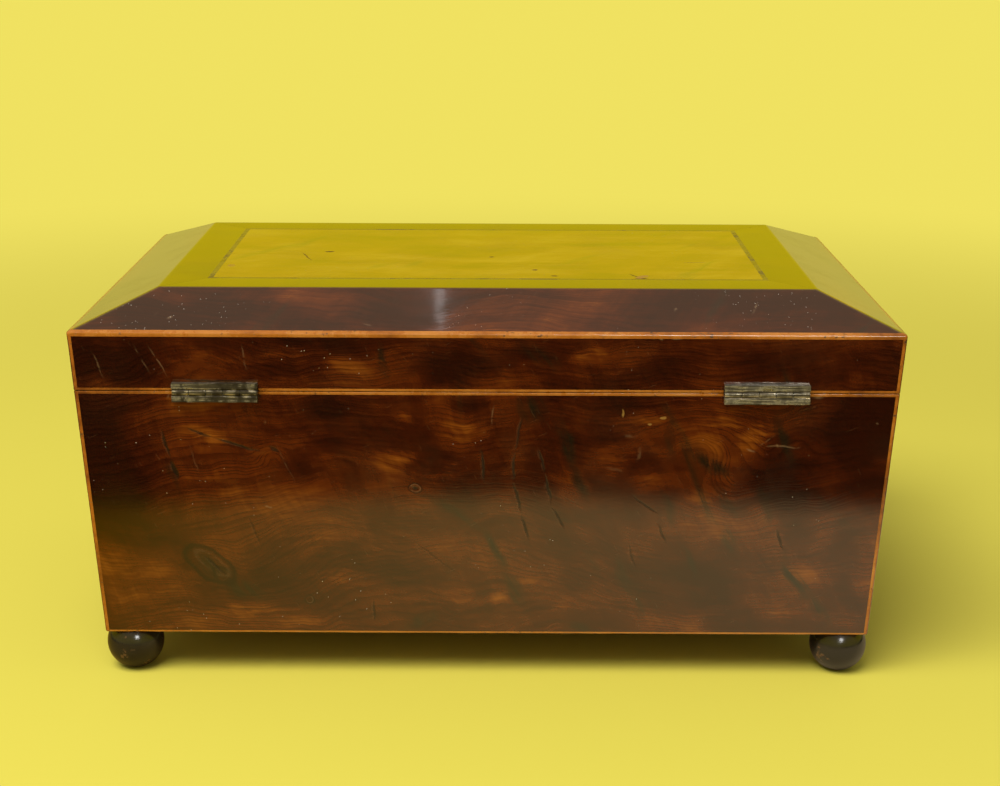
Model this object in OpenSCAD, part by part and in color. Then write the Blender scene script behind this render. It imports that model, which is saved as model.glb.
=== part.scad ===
// Antique casket for table knives: splayed walls, hipped lid, four ball feet.
// Front faces -Y, hinges are at +Y, the floor is z = 0 and the origin lies midway between the feet.

/* [Case] */
// Width over the shoulder of the lid, side to side
shoulder_w = 310; // [290:1:330]
// Depth over the shoulder of the lid, front to back
shoulder_d = 203; // [190:1:216]
// Height of the body from its underside to the joint with the lid
body_h = 98.6; // [92:0.1:112]
// Height of the upright sides of the lid, from the joint to the shoulder
lid_side_h = 22.6; // [21:0.1:30]
// Rise of the sloping top of the lid above the shoulder
slope_h = 11.2; // [8:0.1:16]
// Level distance that each slope covers
slope_w = 29.2; // [22:0.1:36]
// Lean of the walls, inwards towards the feet, in degrees
splay = 3.3; // [2:0.1:4.5]

/* [Boards] */
// Thickness of the carcase boards
board_t = 9; // [8.6:0.1:11]
// Thickness of the bottom board
bottom_t = 6; // [5:0.1:9]
// Thickness of the saw-cut veneer
veneer_t = 1.4; // [1.1:0.05:1.6]
// Thickness of the facings on the rims
facing_t = 1.0; // [0.8:0.05:1.2]
// Thickness of the pasted lining
lining_t = 0.6; // [0.4:0.05:1]
// Gap between the rims when the lid is shut
rim_gap = 0.3; // [0.2:0.05:0.4]
// Hairline at a glued butt or mitre joint
hairline = 0.05; // [0.03:0.01:0.08]

/* [Stringing and banding] */
// Square string let into the corners and the shoulder
corner_string = 1.6; // [1.4:0.05:2]
// Height of the strings along the rims and the foot of the body
rim_string = 1.0; // [0.8:0.05:1.4]
// Width of the crossbanding round the flat of the lid
band_w = 16.3; // [10:0.1:22]
// Width of the feathered string inside the crossbanding
panel_string = 2.0; // [1:0.1:3]

/* [Feet] */
// Diameter of each ball foot
foot_d = 22; // [18:0.1:25]
// Height of the body's underside above the centre of the balls
foot_seat = 6.8; // [5:0.1:8]
// Depth of the flat on which each ball stands
foot_flat = 0.4; // [0.3:0.05:0.8]
// Distance of each ball's centre from the two sides at the foot of the body
foot_inset = 9.7; // [8:0.1:14]
// Radius of the spigot that fixes each ball
spigot_r = 3; // [2.5:0.1:3.5]
// Length of the spigot
spigot_h = 4.5; // [3:0.1:4.8]

/* [Stop hinges] */
// Length of each hinge
hinge_len = 31.75; // [30:0.05:34]
// Distance of the hinges from the middle, as half their spacing
hinge_half = 102.5; // [90:0.5:115]
// How far both hinges were set over to one side
hinge_shift = -1.5; // [-3:0.1:3]
// Radius of the barrel
barrel_r = 1.5; // [1.3:0.05:1.7]
// Distance of the hinge axis outside the back of the body
axis_out = 1.3; // [1.2:0.05:1.5]
// Radius of the hinge pin
pin_r = 0.75; // [0.6:0.05:0.85]
// Running clearance of the lid's knuckles on the pin
pin_clear = 0.05; // [0.03:0.01:0.08]
// Thickness of the leaves
leaf_t = 1.2; // [1:0.05:1.4]
// Width of the leaves, let into the rims
leaf_w = 8.5; // [7.5:0.1:9]
// Height of the flange on each leaf, above or below the joint
flange_h = 3.6; // [3:0.1:4]
// How far the flange reaches outside the axis
flange_out = 1.3; // [1.1:0.05:1.4]
// Angle of the flange's stop face from level, in degrees
stop_bevel = 49.5; // [49.5:0.5:52]
// Gap between neighbouring knuckles
knuckle_gap = 0.3; // [0.2:0.05:0.4]
// Clearance round the barrel in the leaf that it turns past
barrel_clear = 0.15; // [0.12:0.01:0.2]
// Clearance round the barrel in the wood
wood_clear = 0.35; // [0.3:0.05:0.5]

/* [Screws] */
// Radius of the screw heads
screw_head_r = 1.7; // [1.5:0.05:1.9]
// Radius of the screw shanks
screw_r = 0.9; // [0.8:0.05:1]
// Depth of the countersunk heads
screw_head_h = 0.8; // [0.7:0.05:0.95]
// Length of the screws
screw_len = 8; // [6:0.5:10]
// Width and depth of the driver slots
screw_slot = 0.4; // [0.3:0.05:0.5]
// Distance between the screws in a leaf
screw_pitch = 11; // [9:0.5:12]

/* [Lock] */
// Width of the lock case
lock_w = 38; // [38:0.5:44]
// Thickness of the lock case, from the inside of the box
lock_t = 6.8; // [6.6:0.1:7]
// Wall of the lock case
lock_wall = 1.0; // [0.8:0.05:1.1]
// Length of the lock's top plate and of the lid's loop plate
plate_w = 50; // [49:0.5:56]
// Width of these two plates
plate_d = 8.2; // [7.8:0.1:8.6]
// Thickness of these two plates
plate_t = 1.6; // [1.4:0.05:1.8]
// Distance of the two loops from the middle
loop_x = 9; // [8.5:0.1:9.5]
// Thickness of each loop
loop_t = 1.6; // [1.4:0.05:1.8]
// Width of each loop
loop_w = 3; // [2.8:0.05:3.2]
// Depth to which the loops hang below the lid
loop_h = 7.3; // [7:0.1:7.5]
// Height of the eye in each loop
eye_h = 2.6; // [2.4:0.05:2.8]
// Width of the eye in each loop
eye_w = 1.6; // [1.5:0.05:1.8]
// Solid rim of the loop below the eye
eye_rim = 1.4; // [1.3:0.05:1.5]
// Travel of the bolt
bolt_travel = 4; // [3.8:0.1:4.2]
// Clearance round the lock's moving pieces
lock_clear = 0.4; // [0.35:0.05:0.45]
// Height of the bolt's bar
bolt_bar_h = 3.2; // [3:0.1:3.6]
// Radius of the stud that guides the bolt
stud_r = 0.6; // [0.5:0.05:0.7]

/* [Key] */
// Radius of the key's shank
key_r = 1.6; // [1.5:0.05:1.8]
// Reach of the key's bit from the middle of the shank
bit_r = 4.2; // [4:0.1:4.4]
// Thickness of the bit
bit_t = 1.4; // [1.2:0.1:1.6]
// Length of the bit
bit_len = 3.4; // [3:0.1:3.6]
// Outer radius of the bow
bow_r = 7; // [6:0.1:8]
// Width of the ring of the bow
bow_rim = 2.5; // [2:0.1:3]
// Thickness of the bow
bow_t = 2.2; // [1.8:0.1:2.6]
// Distance of the middle of the bow from the front of the box
bow_out = 15; // [14:0.5:20]
// Radius of the pin in the lock on which the key turns
drill_pin_r = 0.8; // [0.7:0.05:0.9]
// Running clearance of the key on that pin
drill_clear = 0.08; // [0.05:0.01:0.1]
// Width of the lozenge round the keyhole
lozenge_w = 14; // [12:0.5:18]
// Height of the lozenge
lozenge_h = 22; // [20:0.5:26]

/* [Tray and knife rests] */
// Height of the tray
tray_h = 34; // [30:0.5:38]
// Depth of the tray's top below the rim
tray_drop = 3; // [2:0.5:6]
// Thickness of the tray's sides
tray_t = 5; // [4:0.5:6]
// Thickness of the tray's bottom
tray_floor = 4; // [3:0.5:5]
// Clearance between the tray and the lining
tray_gap = 0.7; // [0.5:0.05:1]
// Clearance between the tray and its bearers
seat_gap = 0.3; // [0.2:0.05:0.4]
// Radius of the finger hollows in the ends of the tray
finger_r = 13; // [11:0.5:15]
// Width of the bearers under the tray
bearer_w = 6; // [5:0.5:8]
// Height of the bearers
bearer_h = 8; // [6:0.5:10]
// Distance of the knife rests from the middle
rest_x = 85; // [70:1:100]
// Thickness of the knife rests
rest_t = 9; // [7:0.5:12]
// Height of the knife rests
rest_h = 22; // [20:0.5:24]
// Number of knives in each layer
knives = 6; // [4:1:7]
// Distance from knife to knife
knife_pitch = 25; // [22:0.5:26]
// Width of the notches
notch_w = 9; // [7:0.5:11]
// Depth of the notches
notch_h = 12; // [10:0.5:14]

/* [Hidden] */
$fn = 64;
lean = tan(splay);
slope_rise = slope_h / slope_w;
cap_t = veneer_t / cos(atan(slope_rise));
wall = veneer_t + board_t;
inner = wall + lining_t;
past = 1;

foot_z = foot_d / 2 - foot_flat;
base_z = foot_z + foot_seat;
floor_z = base_z + bottom_t;
joint_z = base_z + body_h;
rim_z = joint_z - rim_gap / 2;
lid_z = joint_z + rim_gap / 2;
shoulder_z = joint_z + lid_side_h;
top_z = shoulder_z + slope_h;
// The top board of the lid sits on its rim boards just under the shoulder
top_board_z = shoulder_z - corner_string - 0.8;

function half_w(z) = shoulder_w / 2 - (shoulder_z - z) * lean;
function half_d(z) = shoulder_d / 2 - (shoulder_z - z) * lean;

foot_x = half_w(base_z) - foot_inset;
foot_y = half_d(base_z) - foot_inset;

axis_y = half_d(joint_z) + axis_out;
leaf_in = axis_out + leaf_w;
flange_in = axis_out - 0.25;
knuckles = 5;
knuckle_w = hinge_len / knuckles;
screw_y = axis_y - axis_out - leaf_w / 2 - 0.4;
hinge_xs = [hinge_shift - hinge_half, hinge_shift + hinge_half];

lock_in_y = -(half_d(rim_z) - wall);
lock_out_y = lock_in_y - lock_t;
lock_y = (lock_in_y + lock_out_y) / 2;
plate_y = lock_in_y - plate_d / 2;
plate_screw_x = plate_w / 2 - 3;
loop_z = lid_z - loop_h;
eye_z = loop_z + eye_rim;
bar_z = loop_z - lock_clear - bolt_bar_h;
key_z = bar_z - lock_clear + 0.1 - bit_r;
lock_z = key_z - bit_r - lock_clear - lock_wall;
keyhole_r = key_r + lock_clear;
front_at_key = half_d(key_z);
key_tip_y = lock_in_y - lock_wall - lock_clear;
bow_y = -(front_at_key + bow_out);
finger_len = bolt_travel;
bolt_y = lock_t / 2 - lock_wall - lock_clear + 0.1;
riser_w = 3;

tray_top_z = rim_z - tray_drop;
tray_z = tray_top_z - tray_h;
tray_half_w = half_w(tray_z) - inner - tray_gap;
tray_half_d = half_d(tray_z) - inner - tray_gap;
bearer_z = tray_z - seat_gap;

carcase_wood = "#6b3a1e";
yew = "#5a2410";
boxwood = "#c08a45";
facing_wood = "#3a1d12";
ebonised = "#15110f";
old_brass = "#7d7448";
steel = "#77756f";
lining_green = "#2f4a3a";
tray_wood = "#7a4222";

// Runs a profile of [y, z] points along X
module along_x(length) {
    rotate([90, 0, 90])
        linear_extrude(length, center = true)
            children();
}

// Runs a profile of [x, z] points along Y
module along_y(length) {
    rotate([90, 0, 0])
        linear_extrude(length, center = true)
            children();
}

// Solid block between two levels whose four sides follow the lean, set in by in_x and in_y
module splayed(in_x, in_y, lo, hi) {
    intersection() {
        along_y(2 * shoulder_d)
            polygon([
                [-(half_w(lo) - in_x), lo], [half_w(lo) - in_x, lo],
                [half_w(hi) - in_x, hi], [-(half_w(hi) - in_x), hi]
            ]);
        along_x(2 * shoulder_w)
            polygon([
                [-(half_d(lo) - in_y), lo], [half_d(lo) - in_y, lo],
                [half_d(hi) - in_y, hi], [-(half_d(hi) - in_y), hi]
            ]);
    }
}

// Leaning slab along the front (side -1) or the back (side 1)
module long_wall(side, inset, thick, end_in, lo, hi) {
    intersection() {
        splayed(end_in, -past, lo, hi);
        along_x(2 * shoulder_w)
            polygon([
                [side * (half_d(lo) - inset), lo], [side * (half_d(lo) - inset - thick), lo],
                [side * (half_d(hi) - inset - thick), hi], [side * (half_d(hi) - inset), hi]
            ]);
    }
}

// Leaning slab along the left end (side -1) or the right end (side 1)
module end_wall(side, inset, thick, end_in, lo, hi) {
    intersection() {
        splayed(-past, end_in, lo, hi);
        along_y(2 * shoulder_d)
            polygon([
                [side * (half_w(lo) - inset), lo], [side * (half_w(lo) - inset - thick), lo],
                [side * (half_w(hi) - inset - thick), hi], [side * (half_w(hi) - inset), hi]
            ]);
    }
}

// Four square strings that follow the leaning corners
module corner_posts(lo, hi) {
    for (side = [-1, 1]) {
        difference() {
            long_wall(side, 0, corner_string, 0, lo, hi);
            splayed(corner_string, -past, lo - past, hi + past);
        }
    }
}

// Four strings along one edge of the walls, between the corner strings
module edge_strings(lo, hi) {
    for (side = [-1, 1]) {
        long_wall(side, 0, veneer_t, corner_string, lo, hi);
        end_wall(side, 0, veneer_t, corner_string, lo, hi);
    }
}

// Four facing strips on a rim, butted at the corners
module rim_facings(lo, hi) {
    difference() {
        for (side = [-1, 1]) {
            long_wall(side, veneer_t, board_t, veneer_t, lo, hi);
            end_wall(side, veneer_t, board_t, wall + hairline, lo, hi);
        }
        corner_posts(lo - past, hi + past);
    }
}

// The hipped top of the lid, with its faces lowered by drop and its underside at lo
module roof(drop, lo) {
    intersection() {
        along_y(2 * shoulder_d)
            polygon(roof_profile(shoulder_w / 2, drop, lo));
        along_x(2 * shoulder_w)
            polygon(roof_profile(shoulder_d / 2, drop, lo));
    }
}

function roof_profile(half, drop, lo) = [
    [-half, lo], [half, lo], [half, shoulder_z - drop], [half - slope_w, top_z - drop],
    [-(half - slope_w), top_z - drop], [-half, shoulder_z - drop]
];

// Upright prism over a mitred strip of the lid, from inset a to inset b, along the front or the back
module long_strip_prism(side, a, b, hair) {
    half = shoulder_w / 2 - hair;
    out = shoulder_d / 2;
    translate([0, 0, joint_z])
        linear_extrude(top_z)
            polygon([
                [-(half - a), side * (out - a)], [half - a, side * (out - a)],
                [half - b, side * (out - b)], [-(half - b), side * (out - b)]
            ]);
}

// The same along the left or the right end
module end_strip_prism(side, a, b, hair) {
    half = shoulder_d / 2 - hair;
    out = shoulder_w / 2;
    translate([0, 0, joint_z])
        linear_extrude(top_z)
            polygon([
                [side * (out - a), -(half - a)], [side * (out - a), half - a],
                [side * (out - b), half - b], [side * (out - b), -(half - b)]
            ]);
}

// The skin of veneer thickness that covers the lid's top
module cap_skin() {
    difference() {
        roof(0, shoulder_z - corner_string);
        roof(cap_t, shoulder_z - corner_string - past);
    }
}

module cap_long(side, a, b, hair = 0) {
    intersection() {
        cap_skin();
        long_strip_prism(side, a, b, hair);
    }
}

module cap_end(side, a, b, hair = 0) {
    intersection() {
        cap_skin();
        end_strip_prism(side, a, b, hair);
    }
}

// Profile of the shoulder string: outer side, slope, and the two sides of its rebate
function shoulder_profile(half, side) = [
    [side * (half - corner_string * lean), shoulder_z - corner_string], [side * half, shoulder_z],
    [side * (half - corner_string), shoulder_z + corner_string * slope_rise],
    [side * (half - corner_string), shoulder_z - corner_string]
];

// Profile of a hinge leaf of the lid, as [y, z] from the hinge axis
leaf_profile = [
    [-leaf_in, rim_gap / 2], [rim_gap / 2 / tan(stop_bevel), rim_gap / 2],
    [flange_out, flange_out * tan(stop_bevel)], [flange_out, flange_h], [-flange_in, flange_h],
    [-flange_in, rim_gap / 2 + leaf_t], [-leaf_in, rim_gap / 2 + leaf_t]
];

// Cylinder along X, centred on x
module rod_x(x, length, r) {
    translate([x, 0, 0])
        rotate([0, 90, 0])
            cylinder(h = length, r = r, center = true);
}

// One leaf with its knuckles. own is 0 for the base's three knuckles and 1 for the lid's two
module hinge_leaf(x, own, bore) {
    translate([x, axis_y, joint_z])
        mirror([0, 0, 1 - own])
            difference() {
                union() {
                    along_x(hinge_len)
                        polygon(leaf_profile);
                    for (i = [own : 2 : knuckles - 1])
                        rod_x(knuckle_x(i), knuckle_w - knuckle_gap, barrel_r);
                }
                for (i = [1 - own : 2 : knuckles - 1])
                    rod_x(knuckle_x(i), knuckle_w, barrel_r + barrel_clear);
                rod_x(0, hinge_len + past, bore);
                for (i = [-1 : 1])
                    translate([i * screw_pitch, screw_y - axis_y, rim_gap / 2])
                        screw_sink(leaf_t);
            }
}

function knuckle_x(i) = (i - (knuckles - 1) / 2) * knuckle_w;

// Countersunk hole through a plate whose face is z = 0 and which lies above it
module screw_sink(thick) {
    cylinder(h = screw_head_h, r1 = screw_head_r, r2 = screw_r);
    cylinder(h = thick + past, r = screw_r);
}

// Countersunk screw with its slotted head at z = 0, pointing up
module screw() {
    difference() {
        union() {
            cylinder(h = screw_head_h, r1 = screw_head_r, r2 = screw_r);
            cylinder(h = screw_len, r = screw_r);
        }
        cube([2 * screw_head_r + past, screw_slot, 2 * screw_slot], center = true);
    }
}

// Room that the two hinges take out of the base (up = -1) or the lid (up = 1)
module hinge_room(up) {
    for (x = hinge_xs)
        translate([x, axis_y, joint_z]) {
            rod_x(0, hinge_len + 2 * wood_clear, barrel_r + wood_clear);
            mirror([0, 0, (1 - up) / 2])
                translate([-hinge_len / 2, -leaf_in, rim_gap / 2 - past])
                    cube([hinge_len, leaf_in + past, leaf_t + past]);
        }
}

// Places its children at each screw of the base (up = -1) or the lid (up = 1)
module at_screws(up) {
    face_z = up < 0 ? rim_z : lid_z;
    for (x = hinge_xs, i = [-1 : 1])
        translate([x + i * screw_pitch, screw_y, face_z])
            mirror([0, 0, (1 - up) / 2])
                children();
    for (side = [-1, 1])
        translate([side * plate_screw_x, plate_y, face_z])
            mirror([0, 0, (1 - up) / 2])
                children();
}

module screw_holes(up) {
    at_screws(up)
        cylinder(h = screw_len, r = screw_r);
}

// Prism of the keyhole through the front, from y = -shoulder_d to y = to_y
module keyhole(to_y) {
    length = shoulder_d + to_y;
    translate([0, to_y - length / 2, key_z]) {
        rotate([90, 0, 0])
            cylinder(h = length, r = keyhole_r, center = true);
        translate([0, 0, -(bit_r + lock_clear) / 2])
            cube([bit_t + 2 * lock_clear, length, bit_r + lock_clear], center = true);
    }
}

module lozenge() {
    translate([0, -shoulder_d / 2, key_z - 1])
        along_y(shoulder_d / 2)
            polygon([[-lozenge_w / 2, 0], [0, -lozenge_h / 2], [lozenge_w / 2, 0], [0, lozenge_h / 2]]);
}

// Block from the lock's own corner measures: width, front y, back y, low z, high z
module lock_block(w, y0, y1, z0, z1) {
    translate([-w / 2, y0, z0])
        cube([w, y1 - y0, z1 - z0]);
}

// Room for the lock in the front board, its facing and the lining
module lock_room() {
    lock_block(lock_w, lock_out_y, lock_in_y + 3 * lining_t + lock_t / 2, lock_z, rim_z + past);
    lock_block(plate_w, lock_in_y - plate_d, lock_in_y + lining_t + past, rim_z - plate_t, rim_z + past);
}

module loop_plate_room() {
    lock_block(plate_w, lock_in_y - plate_d, lock_in_y, lid_z - past, lid_z + plate_t);
}

module base_board(side, long) {
    lo = floor_z;
    hi = rim_z - facing_t;
    color(carcase_wood)
        difference() {
            if (long)
                long_wall(side, veneer_t, board_t, veneer_t, lo, hi);
            else
                end_wall(side, veneer_t, board_t, wall, lo, hi);
            corner_posts(lo - past, hi + past);
            hinge_room(-1);
            lock_room();
            keyhole(lock_y);
            screw_holes(-1);
        }
}

module base_bottom_board() {
    color(carcase_wood)
        difference() {
            splayed(veneer_t, veneer_t, base_z, floor_z);
            corner_posts(base_z - past, floor_z + past);
            at_feet()
                cylinder(h = foot_seat + spigot_h, r = spigot_r);
        }
}

module base_veneer(side, long) {
    lo = base_z + rim_string;
    hi = rim_z - rim_string;
    color(yew)
        difference() {
            if (long)
                long_wall(side, 0, veneer_t, corner_string, lo, hi);
            else
                end_wall(side, 0, veneer_t, corner_string, lo, hi);
            hinge_room(-1);
            lozenge();
        }
}

module base_corner_strings() {
    color(boxwood)
        corner_posts(base_z, rim_z);
}

module base_rim_strings() {
    color(boxwood)
        difference() {
            edge_strings(rim_z - rim_string, rim_z);
            hinge_room(-1);
        }
}

module base_bottom_strings() {
    color(boxwood)
        edge_strings(base_z, base_z + rim_string);
}

module base_rim_facings() {
    color(facing_wood)
        difference() {
            rim_facings(rim_z - facing_t, rim_z);
            hinge_room(-1);
            lock_room();
            screw_holes(-1);
        }
}

module well_lining() {
    color(lining_green)
        difference() {
            splayed(wall, wall, floor_z, rim_z);
            splayed(inner, inner, floor_z + lining_t, rim_z + past);
            lock_room();
        }
}

module tray_bearers() {
    color(tray_wood)
        for (side = [-1, 1])
            end_wall(side, inner, bearer_w, inner, bearer_z - bearer_h, bearer_z);
}

// Two bars along Y with a round-bottomed notch for each knife
module notched(top_z) {
    difference() {
        children();
        for (i = [0 : knives - 1])
            translate([0, (i - (knives - 1) / 2) * knife_pitch, top_z - notch_h + notch_w / 2]) {
                rotate([0, 90, 0])
                    cylinder(h = 3 * rest_x, r = notch_w / 2, center = true);
                translate([-1.5 * rest_x, -notch_w / 2, 0])
                    cube([3 * rest_x, notch_w, notch_h]);
            }
    }
}

module lower_knife_rests() {
    lo = floor_z + lining_t;
    color(tray_wood)
        notched(lo + rest_h)
            intersection() {
                splayed(inner, inner, lo, lo + rest_h);
                for (side = [-1, 1])
                    translate([side * rest_x - rest_t / 2, -shoulder_d / 2, lo])
                        cube([rest_t, shoulder_d, rest_h]);
            }
}

// Places its children at the centre of each ball foot
module at_feet() {
    for (side_x = [-1, 1], side_y = [-1, 1])
        translate([side_x * foot_x, side_y * foot_y, foot_z])
            children();
}

module ball_foot(side_x, side_y) {
    color(ebonised)
        translate([side_x * foot_x, side_y * foot_y, 0]) {
            intersection() {
                translate([0, 0, foot_z])
                    sphere(d = foot_d, $fn = 96);
                translate([-foot_d, -foot_d, 0])
                    cube([2 * foot_d, 2 * foot_d, base_z]);
            }
            translate([0, 0, base_z - past])
                cylinder(h = spigot_h + past, r = spigot_r);
        }
}

module hinge_base_leaf(x) {
    color(old_brass)
        hinge_leaf(x, 0, pin_r);
}

module hinge_lid_leaf(x) {
    color(old_brass)
        hinge_leaf(x, 1, pin_r + pin_clear);
}

module hinge_pins() {
    color(steel)
        for (x = hinge_xs)
            translate([x, axis_y, joint_z])
                rod_x(0, hinge_len, pin_r);
}

module base_screws() {
    color(old_brass)
        at_screws(-1)
            screw();
}

module lid_screws() {
    color(old_brass)
        at_screws(1)
            screw();
}

// Brass case with its top plate, the guide stud for the bolt and the pin for the key
module lock_case() {
    inside_y0 = lock_out_y + lock_wall;
    inside_y1 = lock_in_y - lock_wall;
    slot_w = loop_t + 2 * lock_clear;
    slot_d = loop_w + 2 * lock_clear + 0.2;
    color(old_brass) {
        difference() {
            union() {
                lock_block(lock_w, lock_out_y, lock_in_y, lock_z, rim_z - plate_t);
                lock_block(plate_w, lock_in_y - plate_d, lock_in_y, rim_z - plate_t, rim_z);
            }
            lock_block(lock_w - 2 * lock_wall, inside_y0, inside_y1, lock_z + lock_wall, rim_z - plate_t);
            for (side = [-1, 1]) {
                translate([side * loop_x, lock_y, rim_z])
                    cube([slot_w, slot_d, 3 * plate_t], center = true);
                translate([side * plate_screw_x, plate_y, rim_z])
                    mirror([0, 0, 1])
                        screw_sink(plate_t);
            }
            keyhole(lock_y);
        }
        translate([stud_x, inside_y1 + lock_wall / 2, bar_z + bolt_bar_h / 2])
            rotate([90, 0, 0])
                cylinder(h = inside_y1 - inside_y0 - lock_clear + lock_wall / 2, r = stud_r);
        translate([0, inside_y1 + lock_wall / 2, key_z])
            rotate([90, 0, 0])
                cylinder(h = bit_len + lock_clear + lock_wall / 2, r = drill_pin_r);
    }
}

loop_left = -loop_t / 2 - lock_clear;
stud_x = -loop_x + loop_t;

// Sliding bolt: a bar with two fingers that pass through the loops
module lock_bolt() {
    slot_r = stud_r + lock_clear / 2;
    bar_x0 = -loop_x + loop_left - finger_len - riser_w;
    bar_x1 = loop_x + 1;
    finger_z = eye_z + lock_clear;
    finger_h = eye_h - 2 * lock_clear;
    color(steel)
        translate([0, lock_y, 0])
            difference() {
                union() {
                    translate([bar_x0, -bolt_y, bar_z])
                        cube([bar_x1 - bar_x0, 2 * bolt_y, bolt_bar_h]);
                    for (side = [-1, 1])
                        translate([side * loop_x + loop_left, 0, 0]) {
                            translate([-finger_len - riser_w, -bolt_y / 2, bar_z])
                                cube([riser_w, bolt_y, finger_z + finger_h - bar_z]);
                            translate([-finger_len - riser_w, -(eye_w - 0.5) / 2, finger_z])
                                cube([finger_len + riser_w, eye_w - 0.5, finger_h]);
                        }
                }
                translate([stud_x, 0, bar_z + bolt_bar_h / 2]) {
                    for (x = [0, -bolt_travel])
                        translate([x, 0, 0])
                            rotate([90, 0, 0])
                                cylinder(h = 3 * bolt_y, r = slot_r, center = true);
                    translate([-bolt_travel / 2, 0, 0])
                        cube([bolt_travel, 3 * bolt_y, 2 * slot_r], center = true);
                }
            }
}

module key() {
    shank_len = key_tip_y - bow_y - (bow_r - bow_rim);
    color(steel)
        difference() {
            union() {
                translate([0, key_tip_y, key_z])
                    rotate([90, 0, 0])
                        cylinder(h = shank_len, r = key_r);
                translate([0, key_tip_y - shank_len + bow_rim + 1, key_z])
                    rotate([90, 0, 0])
                        cylinder(h = 1.6, r = key_r + 0.8);
                translate([-bit_t / 2, key_tip_y - bit_len, key_z - bit_r])
                    cube([bit_t, bit_len, bit_r - key_r / 2]);
                translate([0, bow_y, key_z])
                    rotate([0, 90, 0])
                        cylinder(h = bow_t, r = bow_r, center = true);
            }
            translate([0, bow_y, key_z])
                rotate([0, 90, 0])
                    cylinder(h = 2 * bow_t, r = bow_r - bow_rim, center = true);
            translate([0, key_tip_y + past, key_z])
                rotate([90, 0, 0])
                    cylinder(h = bit_len + past + lock_clear, r = drill_pin_r + drill_clear);
        }
}

module escutcheon() {
    color(boxwood)
        difference() {
            intersection() {
                long_wall(-1, 0, veneer_t, corner_string, base_z, rim_z);
                lozenge();
            }
            keyhole(lock_y);
        }
}

module lid_board(side, long) {
    lo = lid_z + facing_t;
    hi = top_board_z;
    color(carcase_wood)
        difference() {
            if (long)
                long_wall(side, veneer_t, board_t, veneer_t, lo, hi);
            else
                end_wall(side, veneer_t, board_t, wall, lo, hi);
            corner_posts(lo - past, hi + past);
            hinge_room(1);
            loop_plate_room();
            screw_holes(1);
        }
}

module lid_top_board() {
    color(carcase_wood)
        intersection() {
            roof(cap_t, top_board_z);
            translate([0, 0, top_z / 2])
                cube([shoulder_w - 2 * corner_string, shoulder_d - 2 * corner_string, 2 * top_z], center = true);
        }
}

module lid_veneer(side, long) {
    lo = lid_z + rim_string;
    hi = shoulder_z - corner_string;
    color(yew)
        difference() {
            if (long)
                long_wall(side, 0, veneer_t, corner_string, lo, hi);
            else
                end_wall(side, 0, veneer_t, corner_string, lo, hi);
            hinge_room(1);
        }
}

module slope_veneer(side, long) {
    color(yew)
        if (long)
            cap_long(side, corner_string, slope_w);
        else
            cap_end(side, corner_string, slope_w);
}

module lid_crossbands() {
    color(yew)
        for (side = [-1, 1]) {
            cap_long(side, slope_w, slope_w + band_w, hairline);
            cap_end(side, slope_w, slope_w + band_w, hairline);
        }
}

module lid_panel_strings() {
    from = slope_w + band_w;
    color(boxwood)
        for (side = [-1, 1]) {
            cap_long(side, from, from + panel_string, hairline);
            cap_end(side, from, from + panel_string, hairline);
        }
}

module lid_panel_veneer() {
    in = slope_w + band_w + panel_string;
    color(yew)
        translate([-(shoulder_w / 2 - in), -(shoulder_d / 2 - in), top_z - cap_t])
            cube([shoulder_w - 2 * in, shoulder_d - 2 * in, cap_t]);
}

module lid_corner_strings() {
    color(boxwood)
        corner_posts(lid_z, shoulder_z - corner_string);
}

module lid_shoulder_strings() {
    color(boxwood)
        for (side = [-1, 1]) {
            intersection() {
                along_x(shoulder_w)
                    polygon(shoulder_profile(shoulder_d / 2, side));
                long_strip_prism(side, 0, corner_string, hairline);
            }
            intersection() {
                along_y(shoulder_d)
                    polygon(shoulder_profile(shoulder_w / 2, side));
                end_strip_prism(side, 0, corner_string, hairline);
            }
        }
}

module lid_rim_strings() {
    color(boxwood)
        difference() {
            edge_strings(lid_z, lid_z + rim_string);
            hinge_room(1);
        }
}

module lid_rim_facings() {
    color(facing_wood)
        difference() {
            rim_facings(lid_z, lid_z + facing_t);
            hinge_room(1);
            loop_plate_room();
            screw_holes(1);
        }
}

module lid_lining() {
    color(lining_green)
        difference() {
            splayed(wall, wall, lid_z, top_board_z);
            splayed(inner, inner, lid_z - past, top_board_z - lining_t);
            loop_plate_room();
        }
}

// Plate in the lid with the two loops that the bolt catches
module lock_loop_plate() {
    color(old_brass)
        difference() {
            union() {
                lock_block(plate_w, lock_in_y - plate_d, lock_in_y, lid_z, lid_z + plate_t);
                for (side = [-1, 1])
                    translate([side * loop_x, lock_y, lid_z - loop_h / 2])
                        cube([loop_t, loop_w, loop_h], center = true);
            }
            translate([0, lock_y, eye_z + eye_h / 2])
                cube([plate_w, eye_w, eye_h], center = true);
            for (side = [-1, 1])
                translate([side * plate_screw_x, plate_y, lid_z])
                    screw_sink(plate_t);
        }
}

module tray_side(side) {
    color(tray_wood)
        translate([-tray_half_w, side > 0 ? tray_half_d - tray_t : -tray_half_d, tray_z])
            cube([2 * tray_half_w, tray_t, tray_h]);
}

module tray_end(side) {
    color(tray_wood)
        difference() {
            translate([side > 0 ? tray_half_w - tray_t : -tray_half_w, -(tray_half_d - tray_t), tray_z])
                cube([tray_t, 2 * (tray_half_d - tray_t), tray_h]);
            translate([side * tray_half_w, 0, tray_top_z])
                rotate([0, 90, 0])
                    cylinder(h = 4 * tray_t, r = finger_r, center = true);
        }
}

module tray_bottom() {
    color(tray_wood)
        translate([-(tray_half_w - tray_t), -(tray_half_d - tray_t), tray_z])
            cube([2 * (tray_half_w - tray_t), 2 * (tray_half_d - tray_t), tray_floor]);
}

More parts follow.
